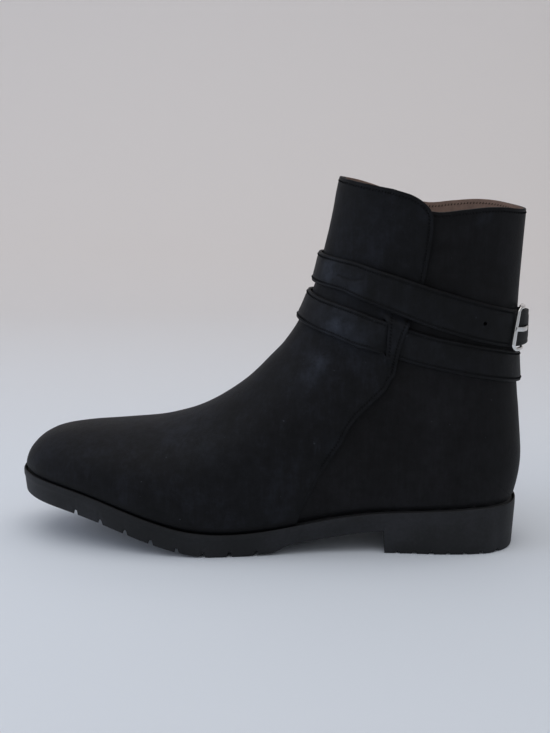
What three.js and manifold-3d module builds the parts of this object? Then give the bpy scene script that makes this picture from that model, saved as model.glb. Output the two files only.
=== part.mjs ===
// Left jodhpur boot in millimetres: toe to -x, outer side to -y, z up from the floor.
// It is drawn with the back of the heel at x = 0 and is centred on the origin at the end.
import * as THREE from 'three';
import { mergeVertices } from 'three/addons/utils/BufferGeometryUtils.js';
import Module from 'manifold-3d';

const wasm = await Module();
wasm.setup();

// Driving sizes of the upper
const upperLength = 296;
const ballWidth = 93;
const heelHeight = 29.5;
const instepRise = 79.5;
const collarHeight = 218;
const collarDrop = 17.5;
const upperWall = 1.8;
const ballPlace = 0.565;
const legAxisX = -0.186 * upperLength;

// Driving sizes of the front piece and its slot
const vampThickness = 1.4;
const leatherGap = 0.45;
const bendPlay = 0.15;
const slotClearance = 0.7;

// Driving sizes of the sole and the insole
const soleThickness = 14.8;
const lugDepth = 2.7;
const grooveWidth = 2.2;
const grooveLength = 20;
const groovePitch = 15.5;
const heelGroovePitch = 10;
const heelGrooveLength = 6;
const weltMargin = 3.6;
const heelMargin = 2.0;
const insoleThickness = 3;
const insoleLift = 0.1;
const insoleMargin = 1.3;
const seatGap = 0.3;

// Driving sizes of the strap and its buckle
const strapWidth = 18;
const strapSeat = 0.6 * collarHeight;
const strapThickness = 2.2;
const buckleTurn = 532;
const buckleLength = 22;
const buckleWire = 2.2;
const buckleHeight = 1.2 * strapWidth + 2 * buckleWire + 0.5;
const buckleCorner = 3;
const prongThickness = 1;
const prongWidth = 2.6;
const tabThickness = 1;
const tabWidth = 15;
const tabLength = 34;
const keeperThickness = 1.2;
const keeperLength = 8;
const keeperDistance = 26;

// Levels above the quarter's face that the strap's layers lie on
const overQuarter = leatherGap + bendPlay;
const overVamp = 2 * leatherGap + vampThickness + 2 * bendPlay;
const overFlap = overVamp + 3 * bendPlay;
const barLevel = overQuarter + tabThickness + seatGap + buckleWire / 2;
const overLoop = barLevel + buckleWire / 2 + seatGap + tabThickness + seatGap;
const frontBarLevel = overQuarter + strapThickness + seatGap + buckleWire / 2;
const overTab = overQuarter + 2 * (tabThickness + seatGap) + 2 * bendPlay;

// Feather line, where the upper meets the sole: place as a share of the upper's length from the
// heel, height as a share of the heel's height
const featherRows = [
  // place, height
  [-0.02, 1.0],
  [0.07, 0.98],
  [0.14, 0.935],
  [0.22, 0.885],
  [0.29, 0.845],
  [0.355, 0.77],
  [0.41, 0.68],
  [0.465, 0.585],
  [0.52, 0.515],
  [0.565, 0.492],
  [0.61, 0.505],
  [0.665, 0.58],
  [0.725, 0.74],
  [0.785, 0.93],
  [0.84, 1.10],
  [0.89, 1.22],
  [0.95, 1.32],
  [1.02, 1.385],
];

// Sections through the last, fanned from the toe (0) to the collar (21). Lengths are shares of the
// upper's length, widths of the ball's width. A top height up to 1 is a share of the instep's rise
// over the ball, and above 1 of the shaft's. A back height is a share of the back seam's, or none
// where the section ends on the feather line.
const sectionColumns = ['topX', 'topHeight', 'bottomX', 'backHeight', 'ridge', 'outer', 'inner',
  'outerFeather', 'innerFeather', 'widest', 'topRound', 'bottomRound'];
const sectionRows = [
  // section, then the columns named above
  [0, 1.0, 0.333, 1.0, 0, 0.097, 0, 0, 0, 0, 0.50, 2.0, 2.0],
  [1, 0.996, 0.403, 0.996, 0, 0.096, 0.091, 0.091, 0.086, 0.086, 0.70, 2.2, 2.2],
  [2, 0.985, 0.478, 0.983, 0, 0.094, 0.178, 0.178, 0.168, 0.168, 0.70, 2.3, 2.3],
  [3, 0.963, 0.550, 0.961, 0, 0.088, 0.263, 0.258, 0.247, 0.242, 0.72, 2.3, 2.4],
  [4, 0.928, 0.605, 0.929, 0, 0.080, 0.333, 0.328, 0.312, 0.306, 0.74, 2.3, 2.4],
  [5, 0.870, 0.641, 0.877, 0, 0.069, 0.402, 0.392, 0.371, 0.360, 0.74, 2.25, 2.4],
  [6, 0.792, 0.670, 0.806, 0, 0.056, 0.467, 0.441, 0.430, 0.403, 0.74, 2.2, 2.4],
  [7, 0.708, 0.714, 0.722, 0, 0.045, 0.520, 0.468, 0.475, 0.416, 0.72, 2.1, 2.3],
  [8, 0.626, 0.816, 0.625, 0, 0.038, 0.531, 0.452, 0.484, 0.381, 0.70, 2.0, 2.2],
  [9, 0.547, 1.0, 0.511, 0, 0.030, 0.490, 0.411, 0.432, 0.301, 0.66, 2.0, 2.2],
  [10, 0.490, 1.131, 0.390, 0, 0.022, 0.444, 0.392, 0.371, 0.269, 0.60, 2.0, 2.2],
  [11, 0.448, 1.250, 0.262, 0, 0.013, 0.404, 0.385, 0.333, 0.306, 0.56, 2.05, 2.2],
  [12, 0.4225, 1.356, 0.141, 0, 0.009, 0.387, 0.384, 0.339, 0.328, 0.54, 2.1, 2.3],
  [13, 0.408, 1.438, 0.064, 0, 0.004, 0.380, 0.376, 0.305, 0.300, 0.53, 2.15, 2.4],
  [13.5, 0.404, 1.466, 0.042, 0, 0.002, 0.379, 0.375, 0.268, 0.265, 0.525, 2.18, 2.4],
  [14, 0.400, 1.492, 0.022, 0, 0, 0.378, 0.374, 0.215, 0.212, 0.52, 2.2, 2.42],
  [14.5, 0.3965, 1.518, 0.007, 0, 0, 0.375, 0.373, 0.130, 0.129, 0.52, 2.2, 2.5],
  [15, 0.393, 1.544, 0.001, 0, 0, 0.372, 0.371, 0, 0, 0.52, 2.2, 2.55],
  [16, 0.3875, 1.597, -0.012, 0.131, 0, 0.362, 0.362, 0, 0, 0.52, 2.2, 2.42],
  [17, 0.381, 1.669, -0.005, 0.306, 0, 0.349, 0.349, 0, 0, 0.52, 2.2, 2.26],
  [18, 0.3725, 1.755, 0.006, 0.499, 0, 0.344, 0.344, 0, 0, 0.51, 2.2, 2.2],
  [19, 0.365, 1.844, 0.005, 0.703, 0, 0.349, 0.349, 0, 0, 0.50, 2.2, 2.2],
  [20, 0.359, 1.929, 0.001, 0.866, 0, 0.360, 0.360, 0, 0, 0.50, 2.2, 2.2],
  [21, 0.353, 2.0, -0.003, 1.0, 0, 0.371, 0.371, 0, 0, 0.50, 2.2, 2.2],
];
const heelSection = 15;
const collarSection = sectionRows[sectionRows.length - 1][0];

// How many sections the quarter's rim dips below the straight line of the collar, by the share of
// the way from the front ridge (0) to the back seam (1)
const rimRows = [
  // share, dip
  [0, 0],
  [0.15, 0.12],
  [0.3, 0.36],
  [0.42, 0.54],
  [0.5, 0.55],
  [0.6, 0.29],
  [0.7, 0.08],
  [0.8, 0],
  [1, 0],
];

// Rear edge of the front piece, from the feather line up: share of the way from ridge to back seam
const flapRows = [
  // section, share
  [9.6, 1.0],
  [9.75, 0.87],
  [9.95, 0.765],
  [10.25, 0.645],
  [10.6, 0.555],
  [11.0, 0.488],
  [11.5, 0.44],
  [12.2, 0.415],
  [13.2, 0.40],
  [14.2, 0.387],
  [15.4, 0.375],
  [16.3, 0.385],
  [17.2, 0.42],
  [18.2, 0.468],
  [19.1, 0.49],
  [20.2, 0.49],
  [20.5, 0.475],
  [20.75, 0.44],
  [20.92, 0.39],
  [21.0, 0.32],
];
const innerSeamRows = [
  // section, share
  [9.6, 1.0],
  [9.9, 0.82],
  [10.4, 0.62],
  [11.0, 0.50],
  [12.0, 0.43],
  [14.0, 0.395],
  [16.0, 0.395],
  [18.5, 0.43],
  [21.0, 0.45],
];
const flapFoot = flapRows[0][0];

// Route of the strap twice round the leg, by the turn in degrees from the front over the outer
// side. Rise above the strap's seat and width are shares of the strap's width.
const strapRows = [
  // turn, rise, width, level
  [-62, -0.24, 1.0, overVamp],
  [-35, 0.27, 1.0, overVamp],
  [0, 0.67, 0.98, overVamp],
  [26, 0.38, 0.98, overVamp],
  [40, 0.12, 1.0, overVamp],
  [48, 0, 1.0, overVamp],
  [56.5, -0.12, 1.0, overQuarter],
  [71, -0.28, 1.0, overQuarter],
  [88, -0.44, 1.0, overQuarter],
  [118, -0.67, 1.0, overQuarter],
  [143, -0.90, 1.0, overQuarter],
  [165, -1.14, 1.0, overQuarter],
  [180, -1.24, 1.0, overQuarter],
  [200, -1.30, 1.0, overQuarter],
  [218, -1.17, 1.0, overQuarter],
  [240, -0.69, 1.0, overQuarter],
  [262, 0.04, 1.0, overQuarter],
  [281, 0.61, 1.0, overVamp],
  [298, 1.01, 1.0, overVamp],
  [325, 1.53, 1.0, overVamp],
  [345, 1.84, 0.98, overVamp],
  [360, 1.93, 0.98, overVamp],
  [386, 1.82, 0.99, overVamp],
  [400, 1.60, 1.06, overFlap],
  [424, 1.28, 1.13, overFlap],
  [448, 0.99, 1.18, overFlap],
  [462, 0.84, 1.2, overVamp],
  [482, 0.61, 1.2, overQuarter],
  [503, 0.35, 1.2, overQuarter],
  [522, 0.13, 1.18, overQuarter],
  [542, 0.04, 1.12, overLoop],
  [547, 0.02, 1.1, overLoop],
  [558, 0, 1.08, overTab],
  [590, -0.02, 1.0, overTab],
];
const firstTurn = strapRows[0][0];
const lastTurn = strapRows[strapRows.length - 1][0];
const strapStep = 7;

// Profile of the sole's side, below its top edge; the small step is on the forepart only
const soleSideRows = [
  // drop, inset, step
  [0, 0.8, 0],
  [0.9, 0, 0],
  [3.9, 0, 0],
  [4.3, 0, 0.4],
];
const soleTaper = 1.2;
const soleBevel = 1.0;
const breastSection = 11;

// Loops at the ball between which the forepart rests on the floor
const ballStops = [8.2, 8.75];
const lugSection = 9.4;
const lugEnd = 0.463;

// The heel's breast and the end of the lugs each drop between two loops this far to either side
const stepHalf = 0.012;
const ledgeHalf = 0.001;

// Smooth curve through the rows of a table by its first column; the other columns come back
function follow(rows, key) {
  const last = rows.length - 1;
  let i = 0;
  while (i < last - 1 && key > rows[i + 1][0]) {
    i += 1;
  }
  const clamped = Math.max(rows[0][0], Math.min(rows[last][0], key));
  const span = rows[i + 1][0] - rows[i][0];
  const t = (clamped - rows[i][0]) / span;
  const values = [];
  for (let column = 1; column < rows[i].length; column += 1) {
    const slope = (row) => {
      const before = rows[Math.max(row - 1, 0)];
      const after = rows[Math.min(row + 1, last)];
      return (after[column] - before[column]) / (after[0] - before[0]);
    };
    const from = rows[i][column];
    const to = rows[i + 1][column];
    const h00 = 2 * t ** 3 - 3 * t ** 2 + 1;
    const h10 = t ** 3 - 2 * t ** 2 + t;
    const h01 = 3 * t ** 2 - 2 * t ** 3;
    const h11 = t ** 3 - t ** 2;
    values.push(h00 * from + h10 * span * slope(i) + h01 * to + h11 * span * slope(i + 1));
  }
  return values;
}

function straight(rows, key, column) {
  const last = rows.length - 1;
  let i = 0;
  while (i < last - 1 && key > rows[i + 1][0]) {
    i += 1;
  }
  const t = Math.max(0, Math.min(1, (key - rows[i][0]) / (rows[i + 1][0] - rows[i][0])));
  return rows[i][column] + t * (rows[i + 1][column] - rows[i][column]);
}

function featherHeight(place) {
  return heelHeight * follow(featherRows, place)[0];
}

const ballSeat = featherHeight(ballPlace);
const instepHeight = ballSeat + instepRise;

function section(position) {
  const values = follow(sectionRows, position);
  const row = Object.fromEntries(sectionColumns.map((name, column) => [name, values[column]]));
  const topZ = row.topHeight <= 1
    ? ballSeat + row.topHeight * instepRise
    : instepHeight + (row.topHeight - 1) * (collarHeight - instepHeight);
  const bottomZ = position <= heelSection
    ? featherHeight(row.bottomX)
    : heelHeight + row.backHeight * (collarHeight - collarDrop - heelHeight);
  row.top = [-row.topX * upperLength, topZ];
  row.bottom = [-row.bottomX * upperLength, bottomZ];
  return row;
}

// Half of one section: two superelliptic arcs, ridge to widest point and widest point to the edge
const arcSteps = 24;
const halfSections = new Map();
function halfSection(position, side) {
  const key = `${position.toFixed(5)} ${side}`;
  if (halfSections.has(key)) {
    return halfSections.get(key);
  }
  const row = section(position);
  const width = Math.max(0, side < 0 ? row.outer : row.inner) * ballWidth;
  const feather = Math.max(0, side < 0 ? row.outerFeather : row.innerFeather) * ballWidth;
  const length = Math.hypot(row.top[0] - row.bottom[0], row.top[1] - row.bottom[1]);
  const closed = position >= heelSection ? 0 : Math.min(feather / Math.max(width, 1e-9), 0.999);
  const end = Math.acos(closed ** (row.bottomRound / 2));
  const points = [];
  for (let step = 0; step <= 2 * arcSteps; step += 1) {
    const upper = Math.min(step / arcSteps, 1) * Math.PI / 2;
    const lower = Math.max(step / arcSteps - 1, 0) * end;
    if (step <= arcSteps) {
      points.push([
        length * row.widest * (1 - Math.cos(upper) ** (2 / row.topRound)),
        width * Math.sin(upper) ** (2 / row.topRound),
      ]);
    } else {
      const down = (Math.sin(lower) / Math.sin(end)) ** (2 / row.bottomRound);
      points.push([
        length * (row.widest + (1 - row.widest) * down),
        width * Math.max(0, Math.cos(lower)) ** (2 / row.bottomRound),
      ]);
    }
  }
  const run = [0];
  for (let i = 1; i < points.length; i += 1) {
    const [a, b] = [points[i - 1], points[i]];
    run.push(run[i - 1] + Math.hypot(b[0] - a[0], b[1] - a[1]));
  }
  const half = Math.max(run[arcSteps], 1e-9);
  const rest = Math.max(run[2 * arcSteps] - half, 1e-9);
  const shares = run.map((distance, i) => (
    i <= arcSteps ? 0.5 * distance / half : 0.5 + 0.5 * (distance - half) / rest
  ));
  const made = { row, length, points, shares };
  halfSections.set(key, made);
  return made;
}

// Point of the last at a section and a place round it: 0 on the ridge, -1 and 1 on the outer and
// inner feather line or the back seam
function lastPoint(position, place) {
  const { row, length, points, shares } = halfSection(position, place < 0 ? -1 : 1);
  const share = Math.abs(place);
  let i = 0;
  while (i < shares.length - 2 && share > shares[i + 1]) {
    i += 1;
  }
  const t = (share - shares[i]) / Math.max(shares[i + 1] - shares[i], 1e-9);
  const down = (points[i][0] + t * (points[i + 1][0] - points[i][0])) / Math.max(length, 1e-9);
  const out = points[i][1] + t * (points[i + 1][1] - points[i][1]);
  return new THREE.Vector3(
    row.top[0] + down * (row.bottom[0] - row.top[0]),
    row.ridge * ballWidth + Math.sign(place) * out,
    row.top[1] + down * (row.bottom[1] - row.top[1]),
  );
}

// Sections above this one are drawn together or apart so that the last one ends at the rim
const rimStart = 18;
function rimmed(position, dip) {
  const reach = (collarSection - dip - rimStart) / (collarSection - rimStart);
  return position <= rimStart ? position : rimStart + (position - rimStart) * reach;
}

// A closed skin between two offsets of a sheet. Each grid point holds its place, the two offsets
// along the sheet's normal and whether it stands on the sole, where the normal is kept level.
function skin(grid) {
  const vertices = [];
  const known = new Map();
  const index = grid.map((row) => row.map((node) => {
    const key = node.at.toArray().map((value) => Math.round(value * 500)).join(' ');
    if (!known.has(key)) {
      known.set(key, vertices.length);
      vertices.push({ ...node, normal: new THREE.Vector3() });
    }
    return known.get(key);
  }));
  const faces = [];
  const addFace = (a, b, c) => {
    if (a !== b && b !== c && c !== a) {
      faces.push([a, b, c]);
    }
  };
  for (let i = 0; i + 1 < grid.length; i += 1) {
    for (let j = 0; j + 1 < grid[i].length; j += 1) {
      const [a, b, c, d] = [index[i][j], index[i][j + 1], index[i + 1][j + 1], index[i + 1][j]];
      addFace(a, c, b);
      addFace(a, d, c);
    }
  }
  const edge = new THREE.Vector3();
  const cross = new THREE.Vector3();
  for (const [a, b, c] of faces) {
    edge.subVectors(vertices[b].at, vertices[a].at);
    cross.subVectors(vertices[c].at, vertices[a].at);
    cross.crossVectors(edge, cross);
    for (const corner of [a, b, c]) {
      vertices[corner].normal.add(cross);
    }
  }
  const positions = [];
  for (const offset of ['high', 'low']) {
    for (const vertex of vertices) {
      const normal = vertex.normal.clone();
      if (vertex.level) {
        normal.z = 0;
      }
      const moved = vertex.at.clone().addScaledVector(normal.normalize(), vertex[offset]);
      if (vertex.level) {
        moved.z = featherHeight(-moved.x / upperLength);
      }
      positions.push(...moved.toArray());
    }
  }
  const count = vertices.length;
  const triangles = [];
  const directed = new Set(faces.flatMap(([a, b, c]) => [`${a} ${b}`, `${b} ${c}`, `${c} ${a}`]));
  for (const [a, b, c] of faces) {
    triangles.push(a, b, c, a + count, c + count, b + count);
    for (const [from, to] of [[a, b], [b, c], [c, a]]) {
      if (!directed.has(`${to} ${from}`)) {
        triangles.push(from, from + count, to + count, from, to + count, to);
      }
    }
  }
  return closedGeometry(positions, triangles);
}

// Turns the faces outward, whichever way round they were listed
function closedGeometry(positions, triangles) {
  let volume = 0;
  const corner = (i) => new THREE.Vector3().fromArray(positions, 3 * triangles[i]);
  for (let i = 0; i < triangles.length; i += 3) {
    volume += corner(i).dot(corner(i + 1).cross(corner(i + 2)));
  }
  const geometry = new THREE.BufferGeometry();
  geometry.setAttribute('position', new THREE.Float32BufferAttribute(positions, 3));
  geometry.setIndex(volume > 0 ? triangles : [...triangles].reverse());
  return geometry;
}

function toSolid(geometry) {
  const bare = geometry.clone();
  bare.deleteAttribute('normal');
  bare.deleteAttribute('uv');
  const merged = mergeVertices(bare, 1e-4);
  return new wasm.Manifold(new wasm.Mesh({
    numProp: 3,
    vertProperties: new Float32Array(merged.attributes.position.array),
    triVerts: new Uint32Array(merged.index.array),
  }));
}

function fromSolid(solid) {
  const mesh = solid.getMesh();
  const geometry = new THREE.BufferGeometry();
  geometry.setAttribute('position', new THREE.Float32BufferAttribute(mesh.vertProperties, 3));
  geometry.setIndex([...mesh.triVerts]);
  return geometry;
}

function range(from, to, count) {
  return Array.from({ length: count + 1 }, (_, i) => from + (to - from) * i / count);
}

// Sections that the upper's and the front piece's facets stand on
const sectionStops = [
  0, 0.3, 0.65, 1, 1.5, ...range(2, 8.5, 13), 9, 9.3, flapFoot, ...range(10, 13, 9),
  13.4, 13.8, 14.2, 14.6, heelSection, ...range(15.5, 17.5, 4), ...range(18, 20, 4), 20.35, 20.7,
  collarSection,
];
const roundStops = range(-1, 1, 20);

// Extra facets round the back of the heel, from this section up
const heelStart = 11.5;
const heelPlaces = [-0.98, -0.94, 0.94, 0.98];

function rimDip(place) {
  return follow(rimRows, Math.abs(place))[0];
}

function makeUpper() {
  const places = [...roundStops, ...heelPlaces].sort((a, b) => a - b);
  return skin(sectionStops.map((stop) => places.map((column) => {
    const spare = stop < heelStart && heelPlaces.includes(column);
    const place = spare ? Math.sign(column) : column;
    return {
      at: lastPoint(rimmed(stop, rimDip(place)), place),
      high: 0,
      low: -upperWall,
      level: stop <= heelSection && (Math.abs(place) === 1 || stop === 0),
    };
  })));
}

// Face of the leg at a turn in degrees and a height, on rings cut from the last
const ringSpacing = 3;
const rings = new Map();
function ring(level) {
  if (!rings.has(level)) {
    const points = range(-1, 1, 56).map((place) => {
      let [low, high] = [8, collarSection];
      for (let step = 0; step < 18; step += 1) {
        const middle = (low + high) / 2;
        if (lastPoint(middle, place).z < level * ringSpacing) {
          low = middle;
        } else {
          high = middle;
        }
      }
      const { x, y } = lastPoint(low, place);
      const seam = Math.abs(place) === 1 ? -place * Math.PI : Math.atan2(-y, legAxisX - x);
      return [seam * 180 / Math.PI, Math.hypot(legAxisX - x, y)];
    });
    rings.set(level, points.reverse());
  }
  return rings.get(level);
}

function legRadius(turn, height) {
  const angle = ((turn + 180) % 360 + 360) % 360 - 180;
  const below = Math.floor(height / ringSpacing);
  const t = height / ringSpacing - below;
  return (1 - t) * straight(ring(below), angle, 1) + t * straight(ring(below + 1), angle, 1);
}

function legPoint(turn, height) {
  const radius = legRadius(turn, height);
  const angle = turn * Math.PI / 180;
  return new THREE.Vector3(legAxisX - radius * Math.cos(angle), -radius * Math.sin(angle), height);
}

function legNormal(turn, height) {
  const round = legPoint(turn + 2, height).sub(legPoint(turn - 2, height));
  const up = legPoint(turn, height + 3).sub(legPoint(turn, height - 3));
  return up.cross(round).normalize().negate();
}

function strapHeight(turn) {
  return strapSeat + strapWidth * follow(strapRows, turn)[0];
}

// Place on the leg beside the strap's middle line: across is square to the strap
function strapPlace(turn, across) {
  const height = strapHeight(turn);
  const ahead = strapHeight(turn + 1);
  const radius = legRadius(turn, height);
  const slope = Math.atan2(ahead - height, radius * Math.PI / 180);
  return [
    turn - Math.sin(slope) * across / radius * 180 / Math.PI,
    height + Math.cos(slope) * across,
  ];
}

function strapBand(extraWidth, grow, turns) {
  const rows = turns.map((turn) => {
    const [, width, level] = follow(strapRows, turn);
    const low = Math.max(level, overQuarter);
    return range(-0.5, 0.5, 2).map((share) => ({
      at: legPoint(...strapPlace(turn, share * (width * strapWidth + extraWidth))),
      high: low + strapThickness + grow,
      low: low - grow,
    }));
  });
  return skin(rows);
}

// The strap lies under the front piece between these turns
const slotTurn = 52;
const bridgeEnd = 74;
const slotTurns = range(slotTurn - 9, slotTurn + 9, 6);
const liftReach = 5.5;

function vampLift(point) {
  const turn = Math.atan2(-point.y, legAxisX - point.x) * 180 / Math.PI;
  if (turn < 0 || point.z < 0.3 * collarHeight) {
    return 0;
  }
  const ease = (value) => THREE.MathUtils.smoothstep(value, 0, 1);
  const middle = strapHeight(turn);
  const aside = Math.abs(point.z - middle) - strapWidth / 2 - 2 * slotClearance;
  const along = ease((turn - slotTurn - 1) / 4) * ease((bridgeEnd + 18 - turn) / 12);
  return (strapThickness + overQuarter + 2 * bendPlay) * along * ease(1 - aside / liftReach);
}

// Extra facets of the front piece at the feet of its edges and round the slot
const footSections = [9.68, 9.76, 9.86];
const bridgeSections = [14.4, 14.8, 15.25, 15.75, 16.25, 16.75, 17.25];
const bridgePlaces = [-0.37, -0.345, -0.32, -0.26];

function makeVamp() {
  const ascending = (a, b) => a - b;
  const stops = [...sectionStops, ...footSections, ...bridgeSections].sort(ascending);
  const places = [...roundStops, ...bridgePlaces].sort(ascending);
  const grid = stops.map((stop) => {
    const outer = stop <= flapFoot ? 1 : straight(flapRows, stop, 1);
    const inner = stop <= flapFoot ? 1 : straight(innerSeamRows, stop, 1);
    const nearSlot = stop > 13.3 && stop < 17.8;
    const spacing = roundStops[1] - roundStops[0];
    return places.map((column) => {
      const own = nearSlot ? column : Math.round(column / spacing) * spacing;
      const place = Math.max(-outer, Math.min(inner, own));
      const at = lastPoint(place > 0 ? rimmed(stop, rimDip(place)) : stop, place);
      const low = leatherGap + vampLift(at);
      return {
        at,
        high: low + vampThickness,
        low,
        level: stop <= flapFoot && (Math.abs(place) > 0.999 || stop === 0),
      };
    });
  });
  const cutter = strapBand(2 * slotClearance, slotClearance / 2, slotTurns);
  return fromSolid(toSolid(skin(grid)).subtract(toSolid(cutter)));
}

// A strip of even thickness that follows a path in the plane of one coordinate and the level,
// and is carried across the other coordinate
function strip(path, thickness, acrossStops, place) {
  const left = [];
  const right = [];
  path.forEach(([along, level], i) => {
    const before = path[Math.max(i - 1, 0)];
    const after = path[Math.min(i + 1, path.length - 1)];
    const length = Math.hypot(after[0] - before[0], after[1] - before[1]);
    const normal = [-(after[1] - before[1]) / length, (after[0] - before[0]) / length];
    left.push([along + normal[0] * thickness / 2, level + normal[1] * thickness / 2]);
    right.push([along - normal[0] * thickness / 2, level - normal[1] * thickness / 2]);
  });
  const outline = [...left, ...right.reverse()];
  const count = outline.length;
  const half = path.length;
  const positions = [];
  for (const across of acrossStops) {
    for (const [along, level] of outline) {
      positions.push(...place(along, across, level).toArray());
    }
  }
  const triangles = [];
  for (let j = 0; j + 1 < acrossStops.length; j += 1) {
    for (let i = 0; i < count; i += 1) {
      const [a, b] = [j * count + i, j * count + (i + 1) % count];
      triangles.push(a, b, b + count, a, b + count, a + count);
    }
  }
  const top = (acrossStops.length - 1) * count;
  for (let i = 0; i + 1 < half; i += 1) {
    const [a, b, c, d] = [i, i + 1, count - 2 - i, count - 1 - i];
    triangles.push(a, c, b, a, d, c);
    triangles.push(top + a, top + b, top + c, top + a, top + c, top + d);
  }
  return closedGeometry(positions, triangles);
}

// Point near the buckle: along the strap from the buckle's middle, square across it, and a level
const degreesPerLength = 180 / Math.PI / legRadius(buckleTurn, strapHeight(buckleTurn));
function bucklePoint(along, across, level) {
  const [turn, height] = strapPlace(buckleTurn + along * degreesPerLength, across);
  return legPoint(turn, height).addScaledVector(legNormal(turn, height), level);
}

const barPlace = buckleLength / 2 - buckleWire / 2;

function makeBuckleFrame() {
  const steps = 3;
  const sides = 8;
  const halfLength = barPlace;
  const halfHeight = buckleHeight / 2 - buckleWire / 2;
  const route = [];
  for (const [signX, signY, start] of [[1, 1, 0], [-1, 1, 90], [-1, -1, 180], [1, -1, 270]]) {
    for (let i = 0; i <= steps; i += 1) {
      const angle = (start + 90 * i / steps) * Math.PI / 180;
      route.push([
        signX * (halfLength - buckleCorner) + buckleCorner * Math.cos(angle),
        signY * (halfHeight - buckleCorner) + buckleCorner * Math.sin(angle),
        angle,
      ]);
    }
    const ahead = (start + 90) * Math.PI / 180;
    const middle = signX === signY ? [0, signY * halfHeight] : [signX * halfLength, 0];
    route.push([...middle, ahead]);
  }
  const positions = [];
  for (const [along, across, angle] of route) {
    const share = (along / halfLength + 1) / 2;
    const level = frontBarLevel + share * (barLevel - frontBarLevel);
    for (let i = 0; i < sides; i += 1) {
      const round = 2 * Math.PI * i / sides;
      const out = buckleWire / 2 * Math.cos(round);
      positions.push(...bucklePoint(
        along + out * Math.cos(angle),
        across + out * Math.sin(angle),
        level + buckleWire / 2 * Math.sin(round),
      ).toArray());
    }
  }
  const triangles = [];
  for (let j = 0; j < route.length; j += 1) {
    const next = (j + 1) % route.length;
    for (let i = 0; i < sides; i += 1) {
      const [a, b] = [j * sides + i, j * sides + (i + 1) % sides];
      const [c, d] = [next * sides + (i + 1) % sides, next * sides + i];
      triangles.push(a, b, c, a, c, d);
    }
  }
  return closedGeometry(positions, triangles);
}

// Arc round the buckle's rear bar, in degrees from the rear over the top
function roundBar(radius, from, to, steps) {
  return range(from, to, steps).map((degrees) => {
    const angle = degrees * Math.PI / 180;
    return [barPlace + radius * Math.cos(angle), barLevel + radius * Math.sin(angle)];
  });
}

function makeProng() {
  const radius = buckleWire / 2 + seatGap + prongThickness / 2;
  const rest = frontBarLevel + buckleWire / 2 + seatGap + prongThickness / 2;
  const path = [
    ...roundBar(radius, -150, 130, 10),
    [barPlace - 5.5, barLevel + 2.5],
    [0, (barLevel + rest) / 2 + 1.7],
    [-barPlace + 4, rest + 0.6],
    [-barPlace, rest],
    [-barPlace - 2, rest - 0.1],
  ];
  return strip(path, prongThickness, [-prongWidth / 2, prongWidth / 2], bucklePoint);
}

function tabPath(end) {
  const radius = buckleWire / 2 + seatGap + tabThickness / 2;
  const under = overQuarter + tabThickness / 2;
  const over = under + tabThickness + seatGap;
  const rear = barPlace + end;
  return [
    [rear, under],
    ...range(rear - 6, barPlace + 3, 5).map((along) => [along, under]),
    ...roundBar(radius, -90, -270, 8),
    [barPlace + 2.2, barLevel + radius - 0.6],
    [barPlace + 5, (barLevel + radius + over) / 2],
    [barPlace + 8, over + 0.2],
    ...range(barPlace + 11, rear - 6, 4).map((along) => [along, over]),
    [rear, over],
  ];
}

function makeTab() {
  const across = range(-tabWidth / 2, tabWidth / 2, 2);
  const folded = toSolid(strip(tabPath(tabLength), tabThickness, across, bucklePoint));
  const slotHalf = prongWidth / 2 + seatGap;
  const slot = [[barPlace - 6, barLevel], [barPlace + 4.2, barLevel]];
  const cutter = toSolid(strip(slot, 8, [-slotHalf, slotHalf], bucklePoint));
  return fromSolid(folded.subtract(cutter));
}

function makeStrap() {
  const [before, after] = [buckleTurn - 24, buckleTurn + 34];
  const turns = [
    ...range(firstTurn, slotTurns[0] - strapStep, 13),
    ...slotTurns,
    ...range(bridgeEnd - strapStep, before - strapStep, 61),
    ...range(before, after, 16),
    ...range(after + strapStep, lastTurn, 3),
  ];
  const band = toSolid(strapBand(0, 0, turns));
  const holeHalf = prongWidth / 2 + seatGap;
  const hole = [[-2, barLevel + 1], [barPlace - 0.5, barLevel + 1]];
  const cutter = toSolid(strip(hole, 9, [-holeHalf, holeHalf], bucklePoint));
  return fromSolid(band.subtract(cutter));
}

function makeKeeper() {
  const middle = barPlace + keeperDistance;
  const turn = buckleTurn + middle * degreesPerLength;
  const tailWidth = follow(strapRows, turn)[1] * strapWidth;
  const half = tailWidth / 2 + leatherGap + bendPlay + keeperThickness / 2;
  const foot = overQuarter + bendPlay;
  const top = overTab + strapThickness + leatherGap + bendPlay + keeperThickness / 2;
  const bend = 1.2 * keeperThickness;
  const path = [
    [-half, foot],
    [-half, top - bend],
    [-half + bend, top],
    ...range(-half + 4 * bend, half - 4 * bend, 3).map((across) => [across, top]),
    [half - bend, top],
    [half, top - bend],
    [half, foot],
  ];
  const place = (across, along, level) => bucklePoint(along, across, level);
  const stops = range(middle - keeperLength / 2, middle + keeperLength / 2, 2);
  return strip(path, keeperThickness, stops, place);
}

// Edge of the feather line in plan, moved outward by a margin
function featherEdge(position, place, margin) {
  const at = lastPoint(position, place);
  const before = lastPoint(Math.max(position - 0.02, 0), place);
  const after = lastPoint(Math.min(position + 0.02, heelSection), place);
  const along = after.sub(before);
  const out = new THREE.Vector3(-along.y, along.x, 0).multiplyScalar(place).normalize();
  if (position === 0) {
    out.set(-1, 0, 0);
  }
  if (position === heelSection) {
    out.set(1, 0, 0);
  }
  return at.addScaledVector(out, margin);
}

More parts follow.
